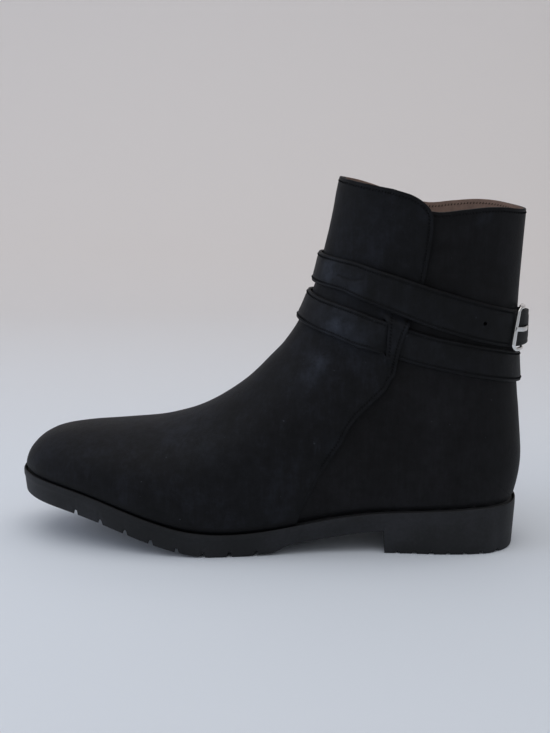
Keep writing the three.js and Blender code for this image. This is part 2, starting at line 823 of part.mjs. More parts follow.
// A closed body between loops that follow the feather line: each stop gives a column of points
function footBody(stops, column) {
  const positions = [];
  const sides = [-1, 1].map((place) => stops.map((stop) => {
    const points = column(stop, place);
    const first = positions.length / 3;
    points.forEach((point) => positions.push(...point.toArray()));
    return points.map((_, i) => first + i);
  }));
  const triangles = [];
  const quad = (a, b, c, d) => triangles.push(a, b, c, a, c, d);
  const depth = sides[0][0].length;
  for (let i = 0; i + 1 < stops.length; i += 1) {
    const [outer, inner] = sides;
    for (let k = 0; k + 1 < depth; k += 1) {
      quad(outer[i][k], outer[i + 1][k], outer[i + 1][k + 1], outer[i][k + 1]);
      quad(inner[i][k], inner[i][k + 1], inner[i + 1][k + 1], inner[i + 1][k]);
    }
    quad(outer[i][0], inner[i][0], inner[i + 1][0], outer[i + 1][0]);
    const last = depth - 1;
    quad(outer[i][last], outer[i + 1][last], inner[i + 1][last], inner[i][last]);
  }
  const geometry = closedGeometry(positions, triangles);
  return mergeVertices(geometry, 1e-3);
}

function treadHeight(x, onHeel) {
  const place = -x / upperLength;
  if (onHeel) {
    return 0;
  }
  const thickness = place > lugEnd ? soleThickness : soleThickness - lugDepth;
  return Math.max(0, featherHeight(place) - thickness);
}

function makeOutsole() {
  const stops = [
    ...sectionStops.filter((stop) => stop <= heelSection && stop !== breastSection), ...ballStops,
    lugSection - stepHalf, lugSection + stepHalf,
    breastSection - stepHalf, breastSection + stepHalf,
  ].sort((a, b) => a - b);
  const column = (stop, place) => {
    const toToe = THREE.MathUtils.smoothstep(heelSection - stop, 3, 8);
    const margin = heelMargin + toToe * (weltMargin - heelMargin);
    const edge = featherEdge(stop, place, margin);
    const top = featherHeight(-edge.x / upperLength) - seatGap;
    const inward = (inset) => {
      const moved = featherEdge(stop, place, margin - inset);
      return new THREE.Vector3(moved.x, moved.y, 0);
    };
    const ledge = stop < lugSection ? lugEnd + ledgeHalf : lugEnd - ledgeHalf;
    const nearLedge = Math.abs(stop - lugSection) < 2 * stepHalf;
    const x = nearLedge ? -ledge * upperLength : edge.x;
    const bottom = treadHeight(x, stop > breastSection);
    const points = soleSideRows.map(([drop, inset, step]) => (
      inward(inset + toToe * step).setZ(top - drop)
    ));
    points.push(inward(soleTaper).setZ(bottom + soleBevel));
    points.push(inward(soleTaper + soleBevel).setZ(bottom));
    return points;
  };
  const body = toSolid(footBody(stops, column));
  return fromSolid(body.subtract(wasm.Manifold.union(soleGrooves())));
}

// Cross grooves that open the sole's edge, on both sides of the forepart and of the heel
function soleGrooves() {
  const cutters = [];
  const beyond = 3 * weltMargin;
  const groove = (x, place, length, depth) => {
    let [low, high] = [0, heelSection];
    for (let step = 0; step < 20; step += 1) {
      const middle = (low + high) / 2;
      if (lastPoint(middle, place).x < x) {
        low = middle;
      } else {
        high = middle;
      }
    }
    const edge = lastPoint(low, place);
    const onHeel = low > breastSection;
    const z = treadHeight(x, onHeel);
    const slope = onHeel ? 0 : (treadHeight(x - 4, false) - treadHeight(x + 4, false)) / 8;
    const box = new THREE.BoxGeometry(grooveWidth, length + beyond, 2 * depth);
    box.rotateY(Math.atan(slope));
    box.translate(x, edge.y - place * (length - beyond) / 2, z);
    cutters.push(toSolid(box));
  };
  const count = Math.floor((0.93 - lugEnd) * upperLength / groovePitch);
  for (const place of [-1, 1]) {
    for (let i = 1; i <= count; i += 1) {
      groove(-lugEnd * upperLength - i * groovePitch, place, grooveLength, lugDepth);
    }
    for (let x = -heelGroovePitch; x > lastPoint(breastSection, place).x + 4; x -= heelGroovePitch) {
      groove(x, place, heelGrooveLength, lugDepth / 2);
    }
  }
  return cutters;
}

function makeInsole() {
  const inset = upperWall + insoleMargin;
  const stops = sectionStops.filter((stop) => stop > 0 && stop < heelSection);
  const column = (stop, place) => {
    const low = featherEdge(stop, place, -inset);
    low.z = featherHeight(-low.x / upperLength) + insoleLift;
    const high = low.clone();
    high.z += insoleThickness;
    return [high, low];
  };
  return squareEndedBody(stops, column);
}

// A footBody whose two ends are straight across instead of pointed
function squareEndedBody(stops, column) {
  const positions = [];
  const index = stops.map((stop) => [-1, 1].map((place) => column(stop, place).map((point) => {
    positions.push(...point.toArray());
    return positions.length / 3 - 1;
  })));
  const triangles = [];
  const quad = (a, b, c, d) => triangles.push(a, b, c, a, c, d);
  for (let i = 0; i + 1 < stops.length; i += 1) {
    const [[ah, al], [bh, bl]] = index[i];
    const [[ch, cl], [dh, dl]] = index[i + 1];
    quad(ah, bh, dh, ch);
    quad(al, cl, dl, bl);
    quad(ah, ch, cl, al);
    quad(bh, bl, dl, dh);
  }
  const [[ah, al], [bh, bl]] = index[0];
  quad(ah, al, bl, bh);
  const [[ch, cl], [dh, dl]] = index[stops.length - 1];
  quad(ch, dh, dl, cl);
  return closedGeometry(positions, triangles);
}

const blackLeather = { color: 0x1b1c1f, roughness: 0.7, metalness: 0 };
const blackRubber = { color: 0x141415, roughness: 0.8, metalness: 0 };
const liningLeather = { color: 0xa98a6c, roughness: 0.75, metalness: 0 };
const polishedNickel = { color: 0xc9cacc, roughness: 0.18, metalness: 1 };

const boot = new THREE.Group();
function add(name, geometry, finish) {
  const mesh = new THREE.Mesh(geometry, new THREE.MeshStandardMaterial(finish));
  mesh.name = name;
  boot.add(mesh);
}
add('outsole', makeOutsole(), blackRubber);
add('insole', makeInsole(), liningLeather);
add('upper', makeUpper(), blackLeather);
add('vamp', makeVamp(), blackLeather);
add('strap', makeStrap(), blackLeather);
add('buckle_frame', makeBuckleFrame(), polishedNickel);
add('buckle_prong', makeProng(), polishedNickel);
add('buckle_tab', makeTab(), blackLeather);
add('strap_keeper', makeKeeper(), blackLeather);

// Centres the boot over the origin
boot.updateMatrixWorld(true);
const bounds = new THREE.Box3().setFromObject(boot);
const middle = bounds.getCenter(new THREE.Vector3());
boot.position.set(-middle.x, -middle.y, -bounds.min.z);

export default boot;
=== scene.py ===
"""Left jodhpur boot in black waxed nubuck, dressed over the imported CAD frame.

Lengths in the tables and sizes are millimetres in the last's own frame: the back of the heel at
x = 0, the toe to -x, the outer side to -y, z up from the floor. to_row() carries them to the frame.
"""

import functools
import math

import bpy
import numpy as np
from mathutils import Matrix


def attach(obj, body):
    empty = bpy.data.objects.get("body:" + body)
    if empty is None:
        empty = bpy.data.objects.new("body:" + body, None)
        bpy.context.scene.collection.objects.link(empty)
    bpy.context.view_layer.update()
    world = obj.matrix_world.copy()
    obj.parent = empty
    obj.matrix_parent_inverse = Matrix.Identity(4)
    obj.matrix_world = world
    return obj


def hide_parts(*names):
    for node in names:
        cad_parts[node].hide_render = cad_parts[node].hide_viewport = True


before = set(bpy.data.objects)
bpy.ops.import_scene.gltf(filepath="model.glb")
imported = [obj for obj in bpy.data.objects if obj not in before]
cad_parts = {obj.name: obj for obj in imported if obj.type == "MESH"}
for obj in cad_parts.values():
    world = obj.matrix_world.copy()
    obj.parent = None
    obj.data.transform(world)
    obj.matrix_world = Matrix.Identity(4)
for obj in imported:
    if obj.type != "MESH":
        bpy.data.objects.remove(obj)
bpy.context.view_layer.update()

# Where the last's frame lies in the row frame, in millimetres
LAST_ORIGIN = np.array([146.81, -0.929, 0.0])

# Sizes of the upper, as in the part
UPPER_LENGTH = 296.0
BALL_WIDTH = 93.0
HEEL_HEIGHT = 29.5
INSTEP_RISE = 79.5
COLLAR_HEIGHT = 218.0
COLLAR_DROP = 17.5
UPPER_WALL = 1.8
LEG_AXIS_X = -0.186 * UPPER_LENGTH

# Sizes of the front piece
VAMP_THICKNESS = 1.4
LEATHER_GAP = 0.45
BEND_PLAY = 0.15
SLOT_CLEARANCE = 0.7

# Sizes of the sole and the insole
SOLE_THICKNESS = 14.8
LUG_DEPTH = 2.7
GROOVE_WIDTH = 2.2
GROOVE_LENGTH = 20.0
GROOVE_PITCH = 15.5
HEEL_GROOVE_PITCH = 10.0
HEEL_GROOVE_LENGTH = 6.0
WELT_MARGIN = 3.6
HEEL_MARGIN = 2.0
INSOLE_THICKNESS = 3.0
SEAT_GAP = 0.3

# Sizes of the strap and its buckle
STRAP_WIDTH = 18.0
STRAP_THICKNESS = 2.2
STRAP_SEAT = 0.6 * COLLAR_HEIGHT
BUCKLE_TURN = 532.0
BUCKLE_LENGTH = 22.0
BUCKLE_WIRE = 2.2
BUCKLE_HEIGHT = 26.5
BUCKLE_CORNER = 3.0
PRONG_THICKNESS = 1.0
PRONG_WIDTH = 2.6
TAB_THICKNESS = 1.0
TAB_WIDTH = 15.0
TAB_LENGTH = 34.0
KEEPER_THICKNESS = 1.2
KEEPER_LENGTH = 8.0
KEEPER_DISTANCE = 26.0

# Levels above the quarter's face that the strap's layers lie on
OVER_QUARTER = LEATHER_GAP + BEND_PLAY
OVER_VAMP = 2 * LEATHER_GAP + VAMP_THICKNESS + 2 * BEND_PLAY
OVER_FLAP = OVER_VAMP + 3 * BEND_PLAY
BAR_LEVEL = OVER_QUARTER + TAB_THICKNESS + SEAT_GAP + BUCKLE_WIRE / 2
OVER_LOOP = BAR_LEVEL + BUCKLE_WIRE / 2 + SEAT_GAP + TAB_THICKNESS + SEAT_GAP
FRONT_BAR_LEVEL = OVER_QUARTER + STRAP_THICKNESS + SEAT_GAP + BUCKLE_WIRE / 2
OVER_TAB = OVER_QUARTER + 2 * (TAB_THICKNESS + SEAT_GAP) + 2 * BEND_PLAY
BAR_PLACE = BUCKLE_LENGTH / 2 - BUCKLE_WIRE / 2

# Feather line: place as a share of the upper's length from the heel, share of the heel's height
FEATHER_ROWS = [
    [-0.02, 1.0],
    [0.07, 0.98],
    [0.14, 0.935],
    [0.22, 0.885],
    [0.29, 0.845],
    [0.355, 0.77],
    [0.41, 0.68],
    [0.465, 0.585],
    [0.52, 0.515],
    [0.565, 0.492],
    [0.61, 0.505],
    [0.665, 0.58],
    [0.725, 0.74],
    [0.785, 0.93],
    [0.84, 1.10],
    [0.89, 1.22],
    [0.95, 1.32],
    [1.02, 1.385],
]

# Sections through the last, fanned from the toe (0) to the collar (21): section, top x and height,
# bottom x, back height, ridge, outer and inner width, outer and inner feather width, share down to
# the widest point, roundness above and below it
SECTION_ROWS = [
    [0, 1.0, 0.333, 1.0, 0, 0.097, 0, 0, 0, 0, 0.50, 2.0, 2.0],
    [1, 0.996, 0.403, 0.996, 0, 0.096, 0.091, 0.091, 0.086, 0.086, 0.70, 2.2, 2.2],
    [2, 0.985, 0.478, 0.983, 0, 0.094, 0.178, 0.178, 0.168, 0.168, 0.70, 2.3, 2.3],
    [3, 0.963, 0.550, 0.961, 0, 0.088, 0.263, 0.258, 0.247, 0.242, 0.72, 2.3, 2.4],
    [4, 0.928, 0.605, 0.929, 0, 0.080, 0.333, 0.328, 0.312, 0.306, 0.74, 2.3, 2.4],
    [5, 0.870, 0.641, 0.877, 0, 0.069, 0.402, 0.392, 0.371, 0.360, 0.74, 2.25, 2.4],
    [6, 0.792, 0.670, 0.806, 0, 0.056, 0.467, 0.441, 0.430, 0.403, 0.74, 2.2, 2.4],
    [7, 0.708, 0.714, 0.722, 0, 0.045, 0.520, 0.468, 0.475, 0.416, 0.72, 2.1, 2.3],
    [8, 0.626, 0.816, 0.625, 0, 0.038, 0.531, 0.452, 0.484, 0.381, 0.70, 2.0, 2.2],
    [9, 0.547, 1.0, 0.511, 0, 0.030, 0.490, 0.411, 0.432, 0.301, 0.66, 2.0, 2.2],
    [10, 0.490, 1.131, 0.390, 0, 0.022, 0.444, 0.392, 0.371, 0.269, 0.60, 2.0, 2.2],
    [11, 0.448, 1.250, 0.262, 0, 0.013, 0.404, 0.385, 0.333, 0.306, 0.56, 2.05, 2.2],
    [12, 0.4225, 1.356, 0.141, 0, 0.009, 0.387, 0.384, 0.339, 0.328, 0.54, 2.1, 2.3],
    [13, 0.408, 1.438, 0.064, 0, 0.004, 0.380, 0.376, 0.305, 0.300, 0.53, 2.15, 2.4],
    [13.5, 0.404, 1.466, 0.042, 0, 0.002, 0.379, 0.375, 0.268, 0.265, 0.525, 2.18, 2.4],
    [14, 0.400, 1.492, 0.022, 0, 0, 0.378, 0.374, 0.215, 0.212, 0.52, 2.2, 2.42],
    [14.5, 0.3965, 1.518, 0.007, 0, 0, 0.375, 0.373, 0.130, 0.129, 0.52, 2.2, 2.5],
    [15, 0.393, 1.544, 0.001, 0, 0, 0.372, 0.371, 0, 0, 0.52, 2.2, 2.55],
    [16, 0.3875, 1.597, -0.012, 0.131, 0, 0.362, 0.362, 0, 0, 0.52, 2.2, 2.42],
    [17, 0.381, 1.669, -0.005, 0.306, 0, 0.349, 0.349, 0, 0, 0.52, 2.2, 2.26],
    [18, 0.3725, 1.755, 0.006, 0.499, 0, 0.344, 0.344, 0, 0, 0.51, 2.2, 2.2],
    [19, 0.365, 1.844, 0.005, 0.703, 0, 0.349, 0.349, 0, 0, 0.50, 2.2, 2.2],
    [20, 0.359, 1.929, 0.001, 0.866, 0, 0.360, 0.360, 0, 0, 0.50, 2.2, 2.2],
    [21, 0.353, 2.0, -0.003, 1.0, 0, 0.371, 0.371, 0, 0, 0.50, 2.2, 2.2],
]
HEEL_SECTION = 15.0
COLLAR_SECTION = 21.0
RIM_START = 18.0

# Behind this section the feather line closes in a parabola: the feather's share of the ball's width
# there, and how far the line then lies before the heel's back at both ends, as shares of the length
CLOSING_SECTION = 14.5
CLOSING_WIDTH = 0.13
CLOSING_DEPTH = 0.006
CLOSING_END = 0.001

# How many sections the quarter's rim dips, by the share of the way from the front to the back
RIM_ROWS = [[0, 0], [0.15, 0.12], [0.3, 0.36], [0.42, 0.54], [0.5, 0.55], [0.6, 0.29], [0.7, 0.08],
            [0.8, 0], [1, 0]]

# Rear edges of the front piece, from the feather line up: section, share from ridge to back seam
FLAP_ROWS = [
    [9.6, 1.0], [9.75, 0.87], [9.95, 0.765], [10.25, 0.645], [10.6, 0.555], [11.0, 0.488],
    [11.5, 0.44], [12.2, 0.415], [13.2, 0.40], [14.2, 0.387], [15.4, 0.375], [16.3, 0.385],
    [17.2, 0.42], [18.2, 0.468], [19.1, 0.49], [20.2, 0.49], [20.5, 0.475], [20.75, 0.44],
    [20.92, 0.39], [21.0, 0.32],
]
INNER_SEAM_ROWS = [
    [9.6, 1.0], [9.9, 0.82], [10.4, 0.62], [11.0, 0.50], [12.0, 0.43], [14.0, 0.395],
    [16.0, 0.395], [18.5, 0.43], [21.0, 0.45],
]
FLAP_FOOT = 9.6

# Route of the strap by the turn in degrees from the front over the outer side: rise above the
# strap's seat and width as shares of the strap's width, level
STRAP_ROWS = [
    [-62, -0.24, 1.0, OVER_VAMP],
    [-35, 0.27, 1.0, OVER_VAMP],
    [0, 0.67, 0.98, OVER_VAMP],
    [26, 0.38, 0.98, OVER_VAMP],
    [40, 0.12, 1.0, OVER_VAMP],
    [48, 0, 1.0, OVER_VAMP],
    [56.5, -0.12, 1.0, OVER_QUARTER],
    [71, -0.28, 1.0, OVER_QUARTER],
    [88, -0.44, 1.0, OVER_QUARTER],
    [118, -0.67, 1.0, OVER_QUARTER],
    [143, -0.90, 1.0, OVER_QUARTER],
    [165, -1.14, 1.0, OVER_QUARTER],
    [180, -1.24, 1.0, OVER_QUARTER],
    [200, -1.30, 1.0, OVER_QUARTER],
    [218, -1.17, 1.0, OVER_QUARTER],
    [240, -0.69, 1.0, OVER_QUARTER],
    [262, 0.04, 1.0, OVER_QUARTER],
    [281, 0.61, 1.0, OVER_VAMP],
    [298, 1.01, 1.0, OVER_VAMP],
    [325, 1.53, 1.0, OVER_VAMP],
    [345, 1.84, 0.98, OVER_VAMP],
    [360, 1.93, 0.98, OVER_VAMP],
    [386, 1.82, 0.99, OVER_VAMP],
    [400, 1.60, 1.06, OVER_FLAP],
    [424, 1.28, 1.13, OVER_FLAP],
    [448, 0.99, 1.18, OVER_FLAP],
    [462, 0.84, 1.2, OVER_VAMP],
    [482, 0.61, 1.2, OVER_QUARTER],
    [503, 0.35, 1.2, OVER_QUARTER],
    [522, 0.13, 1.18, OVER_QUARTER],
    [542, 0.04, 1.12, OVER_LOOP],
    [547, 0.02, 1.1, OVER_LOOP],
    [558, 0, 1.08, OVER_TAB],
    [590, -0.02, 1.0, OVER_TAB],
]
SLOT_TURN = 52.0
SLOT_LIP = 2.0
LIFT_REACH = 5.5


# Pale patches: scuffs, and painted highlights on the strap, instep and toe: x, y, z, radius, strength
MARKS = np.array([
    [-116.6, -26.3, 113.3, 6.5, 0.6],
    [-122.0, -28.0, 104.7, 5.5, 0.35],
    [-128.0, -26.0, 98.0, 9.0, 0.15],
    [-111.4, -19.5, 165.7, 6.5, 0.9],
    [-98.5, -29.0, 157.9, 7.0, 0.35],
    [-107.7, -28.9, 136.2, 8.0, 0.75],
    [-94.1, -34.0, 131.4, 9.0, 0.35],
    [-72.0, -37.0, 131.0, 7.0, 0.1],
    [-85.0, -34.0, 196.0, 12.0, 0.12],
    [-205.0, -22.0, 72.0, 20.0, 0.16],
    [-181.0, -34.0, 66.0, 14.0, 0.16],
    [-165.0, -42.0, 46.0, 22.0, 0.06],
    [-28.0, -33.0, 195.5, 2.6, 0.35],
    [-24.0, -31.0, 199.0, 2.4, 0.4],
    [-108.0, -40.0, 68.0, 5.0, 0.15],
    [-58.2, -35.1, 198.4, 1.1, 0.9],
    [-114.9, -29.1, 191.0, 1.0, 0.8],
    [-117.3, -39.1, 66.2, 1.2, 1.0],
])


def scuffs_and_highlights_at(points):
    """Sum over the marks of strength · exp(-(distance / radius)²)."""
    total = np.zeros(len(points))
    for x, y, z, radius, strength in MARKS:
        square = ((points - [x, y, z]) ** 2).sum(axis=1)
        total += strength * np.exp(-square / radius**2)
    return total


def to_row(points):
    """Points of the last's frame in millimetres as metres of the row frame."""
    return (np.asarray(points, float) + LAST_ORIGIN) * 0.001


def ease(value):
    """0 below 0, 1 above 1 and 3v² - 2v³ between."""
    v = np.clip(value, 0.0, 1.0)
    return v * v * (3 - 2 * v)


def bump(value, centre, half):
    """1 at the centre, falling to 0 as exp(-((value - centre) / half)²)."""
    return np.exp(-(((value - centre) / half) ** 2))


def spans(first, *parts):
    """Values in even steps, from the first to each part's end in that part's number of steps."""
    values = [np.array([first], float)]
    for last, steps in parts:
        values.append(np.linspace(values[-1][-1], last, steps + 1)[1:])
    return np.concatenate(values)


def follow(rows, keys):
    """Cubic Hermite curve through a table's rows by its first column. The slope at a row is that
    of the line between its two neighbours. Returns the other columns."""
    table = np.asarray(rows, float)
    k, v = table[:, 0], table[:, 1:]
    slope = np.empty_like(v)
    slope[1:-1] = (v[2:] - v[:-2]) / (k[2:] - k[:-2])[:, None]
    slope[0] = (v[1] - v[0]) / (k[1] - k[0])
    slope[-1] = (v[-1] - v[-2]) / (k[-1] - k[-2])
    keys = np.clip(np.asarray(keys, float), k[0], k[-1])
    i = np.clip(np.searchsorted(k, keys, side="right") - 1, 0, len(k) - 2)
    span = (k[i + 1] - k[i])[..., None]
    t = (keys - k[i])[..., None] / span
    return (
        (2 * t**3 - 3 * t**2 + 1) * v[i]
        + (t**3 - 2 * t**2 + t) * span * slope[i]
        + (3 * t**2 - 2 * t**3) * v[i + 1]
        + (t**3 - t**2) * span * slope[i + 1]
    )


def feather_height(place):
    """Height of the upper's lower edge at a share of the length from the heel."""
    return HEEL_HEIGHT * follow(FEATHER_ROWS, place)[..., 0]


BALL_SEAT = float(feather_height(0.565))
INSTEP_Z = BALL_SEAT + INSTEP_RISE
ARC_STEPS = 36


def sections_in_height():
    """The section table with each top height turned to millimetres above the floor."""
    table = np.array(SECTION_ROWS, float)
    share = table[:, 2]
    table[:, 2] = np.where(share <= 1, BALL_SEAT + share * INSTEP_RISE,
                           INSTEP_Z + (share - 1) * (COLLAR_HEIGHT - INSTEP_Z))
    return table


SECTIONS = sections_in_height()


def last_point(position, place):
    """The last's face. A section's half is two superelliptic arcs: from the ridge, share down
    1 - cos(a)^(2/n) and width sin(a)^(2/n), then from the widest point to the feather line or the
    back seam. place is 0 on the ridge, -1 and 1 on the outer and inner edge, half an arc's length
    each to the widest point and beyond it."""
    position, place = np.broadcast_arrays(np.asarray(position, float), np.asarray(place, float))
    shape = position.shape
    s, p = position.ravel(), place.ravel()
    (top_x, top_z, bottom_x, back_height, ridge, outer, inner, outer_feather, inner_feather,
     widest, top_round, bottom_round) = follow(SECTIONS, s).T
    back_z = HEEL_HEIGHT + back_height * (COLLAR_HEIGHT - COLLAR_DROP - HEEL_HEIGHT)
    bottom_z = np.where(s <= HEEL_SECTION, feather_height(bottom_x), back_z)
    width = np.maximum(np.where(p < 0, outer, inner), 0) * BALL_WIDTH
    feather = np.maximum(np.where(p < 0, outer_feather, inner_feather), 0) * BALL_WIDTH
    length = np.hypot((top_x - bottom_x) * UPPER_LENGTH, top_z - bottom_z)
    closed = np.where(s >= HEEL_SECTION, 0, np.minimum(feather / np.maximum(width, 1e-9), 0.999))
    end = np.arccos(closed ** (bottom_round / 2))[:, None]
    first = np.linspace(0, np.pi / 2, ARC_STEPS + 1)[None]
    second = np.linspace(0, 1, ARC_STEPS + 1)[None, 1:] * end
    n, m = (2 / top_round)[:, None], (2 / bottom_round)[:, None]
    w = widest[:, None]
    down = np.hstack([
        w * (1 - np.cos(first).clip(0) ** n),
        w + (1 - w) * (np.sin(second) / np.sin(end)) ** m,
    ])
    out = width[:, None] * np.hstack([np.sin(first) ** n, np.cos(second).clip(0) ** m])
    step = np.hypot(np.diff(down, axis=1) * length[:, None], np.diff(out, axis=1))
    run = np.hstack([np.zeros((len(s), 1)), np.cumsum(step, axis=1)])
    half = np.maximum(run[:, ARC_STEPS], 1e-9)[:, None]
    rest = np.maximum(run[:, -1:] - half, 1e-9)
    share = np.hstack([0.5 * run[:, :ARC_STEPS + 1] / half,
                       0.5 + 0.5 * (run[:, ARC_STEPS + 1:] - half) / rest])
    at = np.abs(p)[:, None]
    i = np.clip((share <= at).sum(axis=1) - 1, 0, 2 * ARC_STEPS - 1)[:, None]
    low = np.take_along_axis(share, i, 1)
    high = np.take_along_axis(share, i + 1, 1)
    t = np.clip((at - low) / np.maximum(high - low, 1e-9), 0, 1)
    d = np.take_along_axis(down, i, 1) * (1 - t) + np.take_along_axis(down, i + 1, 1) * t
    o = np.take_along_axis(out, i, 1) * (1 - t) + np.take_along_axis(out, i + 1, 1) * t
    d, o = d[:, 0], o[:, 0]
    closing = np.clip(feather / BALL_WIDTH / CLOSING_WIDTH, 0, 1)
    back = closing**2 * CLOSING_DEPTH + CLOSING_END
    near = (s > CLOSING_SECTION) & (s <= HEEL_SECTION)
    bottom_x = np.where(near, back, bottom_x)
    points = np.stack([
        -UPPER_LENGTH * (top_x + d * (bottom_x - top_x)),
        ridge * BALL_WIDTH + np.sign(p) * o,
        top_z + d * (bottom_z - top_z),
    ], axis=-1)
    return points.reshape(shape + (3,))


def rimmed(position, dip):
    """Sections above the eighteenth are drawn together so that the last one ends at the rim."""
    reach = (COLLAR_SECTION - dip - RIM_START) / (COLLAR_SECTION - RIM_START)
    return np.where(position <= RIM_START, position, RIM_START + (position - RIM_START) * reach)


def rim_dip(place):
    """How many sections the rim lies below the collar's top, by the share from front to back."""
    return follow(RIM_ROWS, np.abs(place))[..., 0]


# Face of the leg by the turn in degrees and the height, on rings cut from the last
RING_STEP = 2.0
RING_LEVELS = np.arange(84.0, 199.0, RING_STEP)
RING_PLACES = 113
LOWEST_RING_SECTION = 8.0
HALVINGS = 18


def leg_rings():
    """Radius about the leg's axis for each ring and each degree: the section that crosses the
    ring's height is found by halving, at even places round."""
    places = np.linspace(-1, 1, RING_PLACES)
    shape = (len(RING_LEVELS), len(places))
    low, high = np.full(shape, LOWEST_RING_SECTION), np.full(shape, COLLAR_SECTION)
    for _ in range(HALVINGS):
        middle = (low + high) / 2
        below = last_point(middle, places[None])[..., 2] < RING_LEVELS[:, None]
        low, high = np.where(below, middle, low), np.where(below, high, middle)
    points = last_point(low, places[None])
    x, y = points[..., 0], points[..., 1]
    radius = np.hypot(LEG_AXIS_X - x, y)
    angle = np.degrees(np.arctan2(-y, LEG_AXIS_X - x))
    angle[:, 0], angle[:, -1] = 180, -180
    degrees = np.arange(-180, 181)
    return np.array([np.interp(degrees, a[::-1], r[::-1]) for a, r in zip(angle, radius)])


RINGS = leg_rings()


def leg_radius(turn, height):
    """Bilinear reading of the rings."""
    angle = (np.asarray(turn, float) + 180) % 360
    level = np.clip((height - RING_LEVELS[0]) / RING_STEP, 0, len(RING_LEVELS) - 1.001)
    i, j = np.floor(level).astype(int), np.floor(angle).astype(int)
    s, t = level - i, angle - j
    return ((1 - s) * ((1 - t) * RINGS[i, j] + t * RINGS[i, j + 1])
            + s * ((1 - t) * RINGS[i + 1, j] + t * RINGS[i + 1, j + 1]))


def leg_point(turn, height):
    """Point of the leg's face: the radius about the leg's axis, turned from the front."""
    radius, angle = leg_radius(turn, height), np.radians(turn)
    return np.stack([LEG_AXIS_X - radius * np.cos(angle), -radius * np.sin(angle),
                     height + 0 * radius], axis=-1)


def unit(vectors):
    """Each vector divided by its length."""
    return vectors / np.maximum(np.linalg.norm(vectors, axis=-1, keepdims=True), 1e-12)


def leg_normal(turn, height):
    """Outward normal of the leg: the cross product of its differences over 4 degrees round and
    6 mm up."""
    around = leg_point(turn + 2, height) - leg_point(turn - 2, height)
    up = leg_point(turn, height + 3) - leg_point(turn, height - 3)
    return -unit(np.cross(up, around))


def strap_height(turn):
    """Height of the strap's middle line: the strap's seat and its rise there."""
    return STRAP_SEAT + STRAP_WIDTH * follow(STRAP_ROWS, turn)[..., 0]


def strap_place(turn, across):
    """Turn and height of a point square across the strap's middle line."""
    height = strap_height(turn)
    radius = leg_radius(turn, height)
    slope = np.arctan2(strap_height(turn + 1) - height, radius * math.pi / 180)
    return (turn - np.sin(slope) * across / radius * 180 / math.pi,
            height + np.cos(slope) * across)


DEGREES_PER_LENGTH = 180 / math.pi / float(
    leg_radius(BUCKLE_TURN, strap_height(BUCKLE_TURN)))


def buckle_point(along, across, level):
    """Point near the buckle: along the strap from the buckle's middle, square across, a level."""
    turn, height = strap_place(BUCKLE_TURN + along * DEGREES_PER_LENGTH, across)
    return leg_point(turn, height) + leg_normal(turn, height) * np.asarray(level)[..., None]


def listed(blocks):
    """The faces of all blocks in one list. A block is an array of faces with as many corners."""
    return [face for block in blocks for face in block.tolist()]


def make_mesh(name, points, blocks, materials, material_of=None, shade=None):
    """A piece from points in the last's frame and blocks of faces. shade is painted shade in seams,
    grooves, creases and beside edges, with the dyed edges' own darker colour; rubbed holds the pale
    patches of MARKS, scuffs and painted highlights; both from 0 to 1 at each point."""
    mesh = bpy.data.meshes.new(name)
    mesh.from_pydata(to_row(points).tolist(), [], listed(blocks))
    for material in materials:
        mesh.materials.append(material)
    if material_of is not None:
        mesh.polygons.foreach_set("material_index", np.asarray(material_of, np.int32))
    mesh.polygons.foreach_set("use_smooth", np.full(len(mesh.polygons), True))
    if shade is None:
        shade = np.zeros(len(points))
    for label, values in (("rubbed", scuffs_and_highlights_at(points)), ("shade", shade)):
        layer = mesh.attributes.new(label, "FLOAT", "POINT")
        layer.data.foreach_set("value", np.clip(values, 0, 1).astype(np.float32))
    mesh.update()
    piece = bpy.data.objects.new(name, mesh)
    bpy.context.scene.collection.objects.link(piece)
    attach(piece, "root")
    return piece


def round_edges(piece, width):
    """Rounds the edges that bend by more than 50 degrees, by a width in millimetres."""
    bevel = piece.modifiers.new("edge", "BEVEL")
    bevel.width = width * 0.001
    bevel.segments = 2
    bevel.limit_method = "ANGLE"
    bevel.angle_limit = math.radians(50)
    bevel.use_clamp_overlap = True
    normals = piece.modifiers.new("normals", "WEIGHTED_NORMAL")
    normals.keep_sharp = False


def outward(points, blocks):
    """The blocks turned so that the closed body's volume is positive. Six times the volume is the
    sum of a·(b × c) over the triangles that fan out from each face's first corner."""
    volume = 0.0
    for block in blocks:
        for k in range(1, block.shape[1] - 1):
            a, b, c = points[block[:, 0]], points[block[:, k]], points[block[:, k + 1]]
            volume += np.einsum("ij,ij->", a, np.cross(b, c))
    return blocks if volume > 0 else [block[:, ::-1] for block in blocks]


def ring_quads(rings, sides, closed=False):
    """Quads between each ring of points and the next. closed joins the last ring to the first."""
    j, i = np.meshgrid(np.arange(rings if closed else rings - 1), np.arange(sides), indexing="ij")
    ahead, beside = (j + 1) % rings, (i + 1) % sides
    return np.stack([j * sides + i, j * sides + beside, ahead * sides + beside,
                     ahead * sides + i], axis=-1).reshape(-1, 4)


def end_caps(rings, sides):
    """The first and the last ring as the faces that close a tube."""
    return np.stack([np.arange(sides)[::-1], np.arange((rings - 1) * sides, rings * sides)])


def merged(grid, keys_per_mm):
    """The different points of a grid, as which of them each grid point is and where each is first
    found."""
    key = np.round(grid.reshape(-1, 3) * keys_per_mm).astype(np.int64)
    _, first, index = np.unique(key, axis=0, return_index=True, return_inverse=True)
    return index.reshape(grid.shape[:2]), first


def without_folds(quads):
    """The whole quads, and as triangles the quads that have two neighbouring corners in one."""
    same = quads == np.roll(quads, -1, axis=1)
    count = same.sum(axis=1)
    crossed = (quads[:, 0] == quads[:, 2]) | (quads[:, 1] == quads[:, 3])
    thin = count == 1
    return quads[(count == 0) & ~crossed], quads[thin][~same[thin]].reshape(-1, 3)


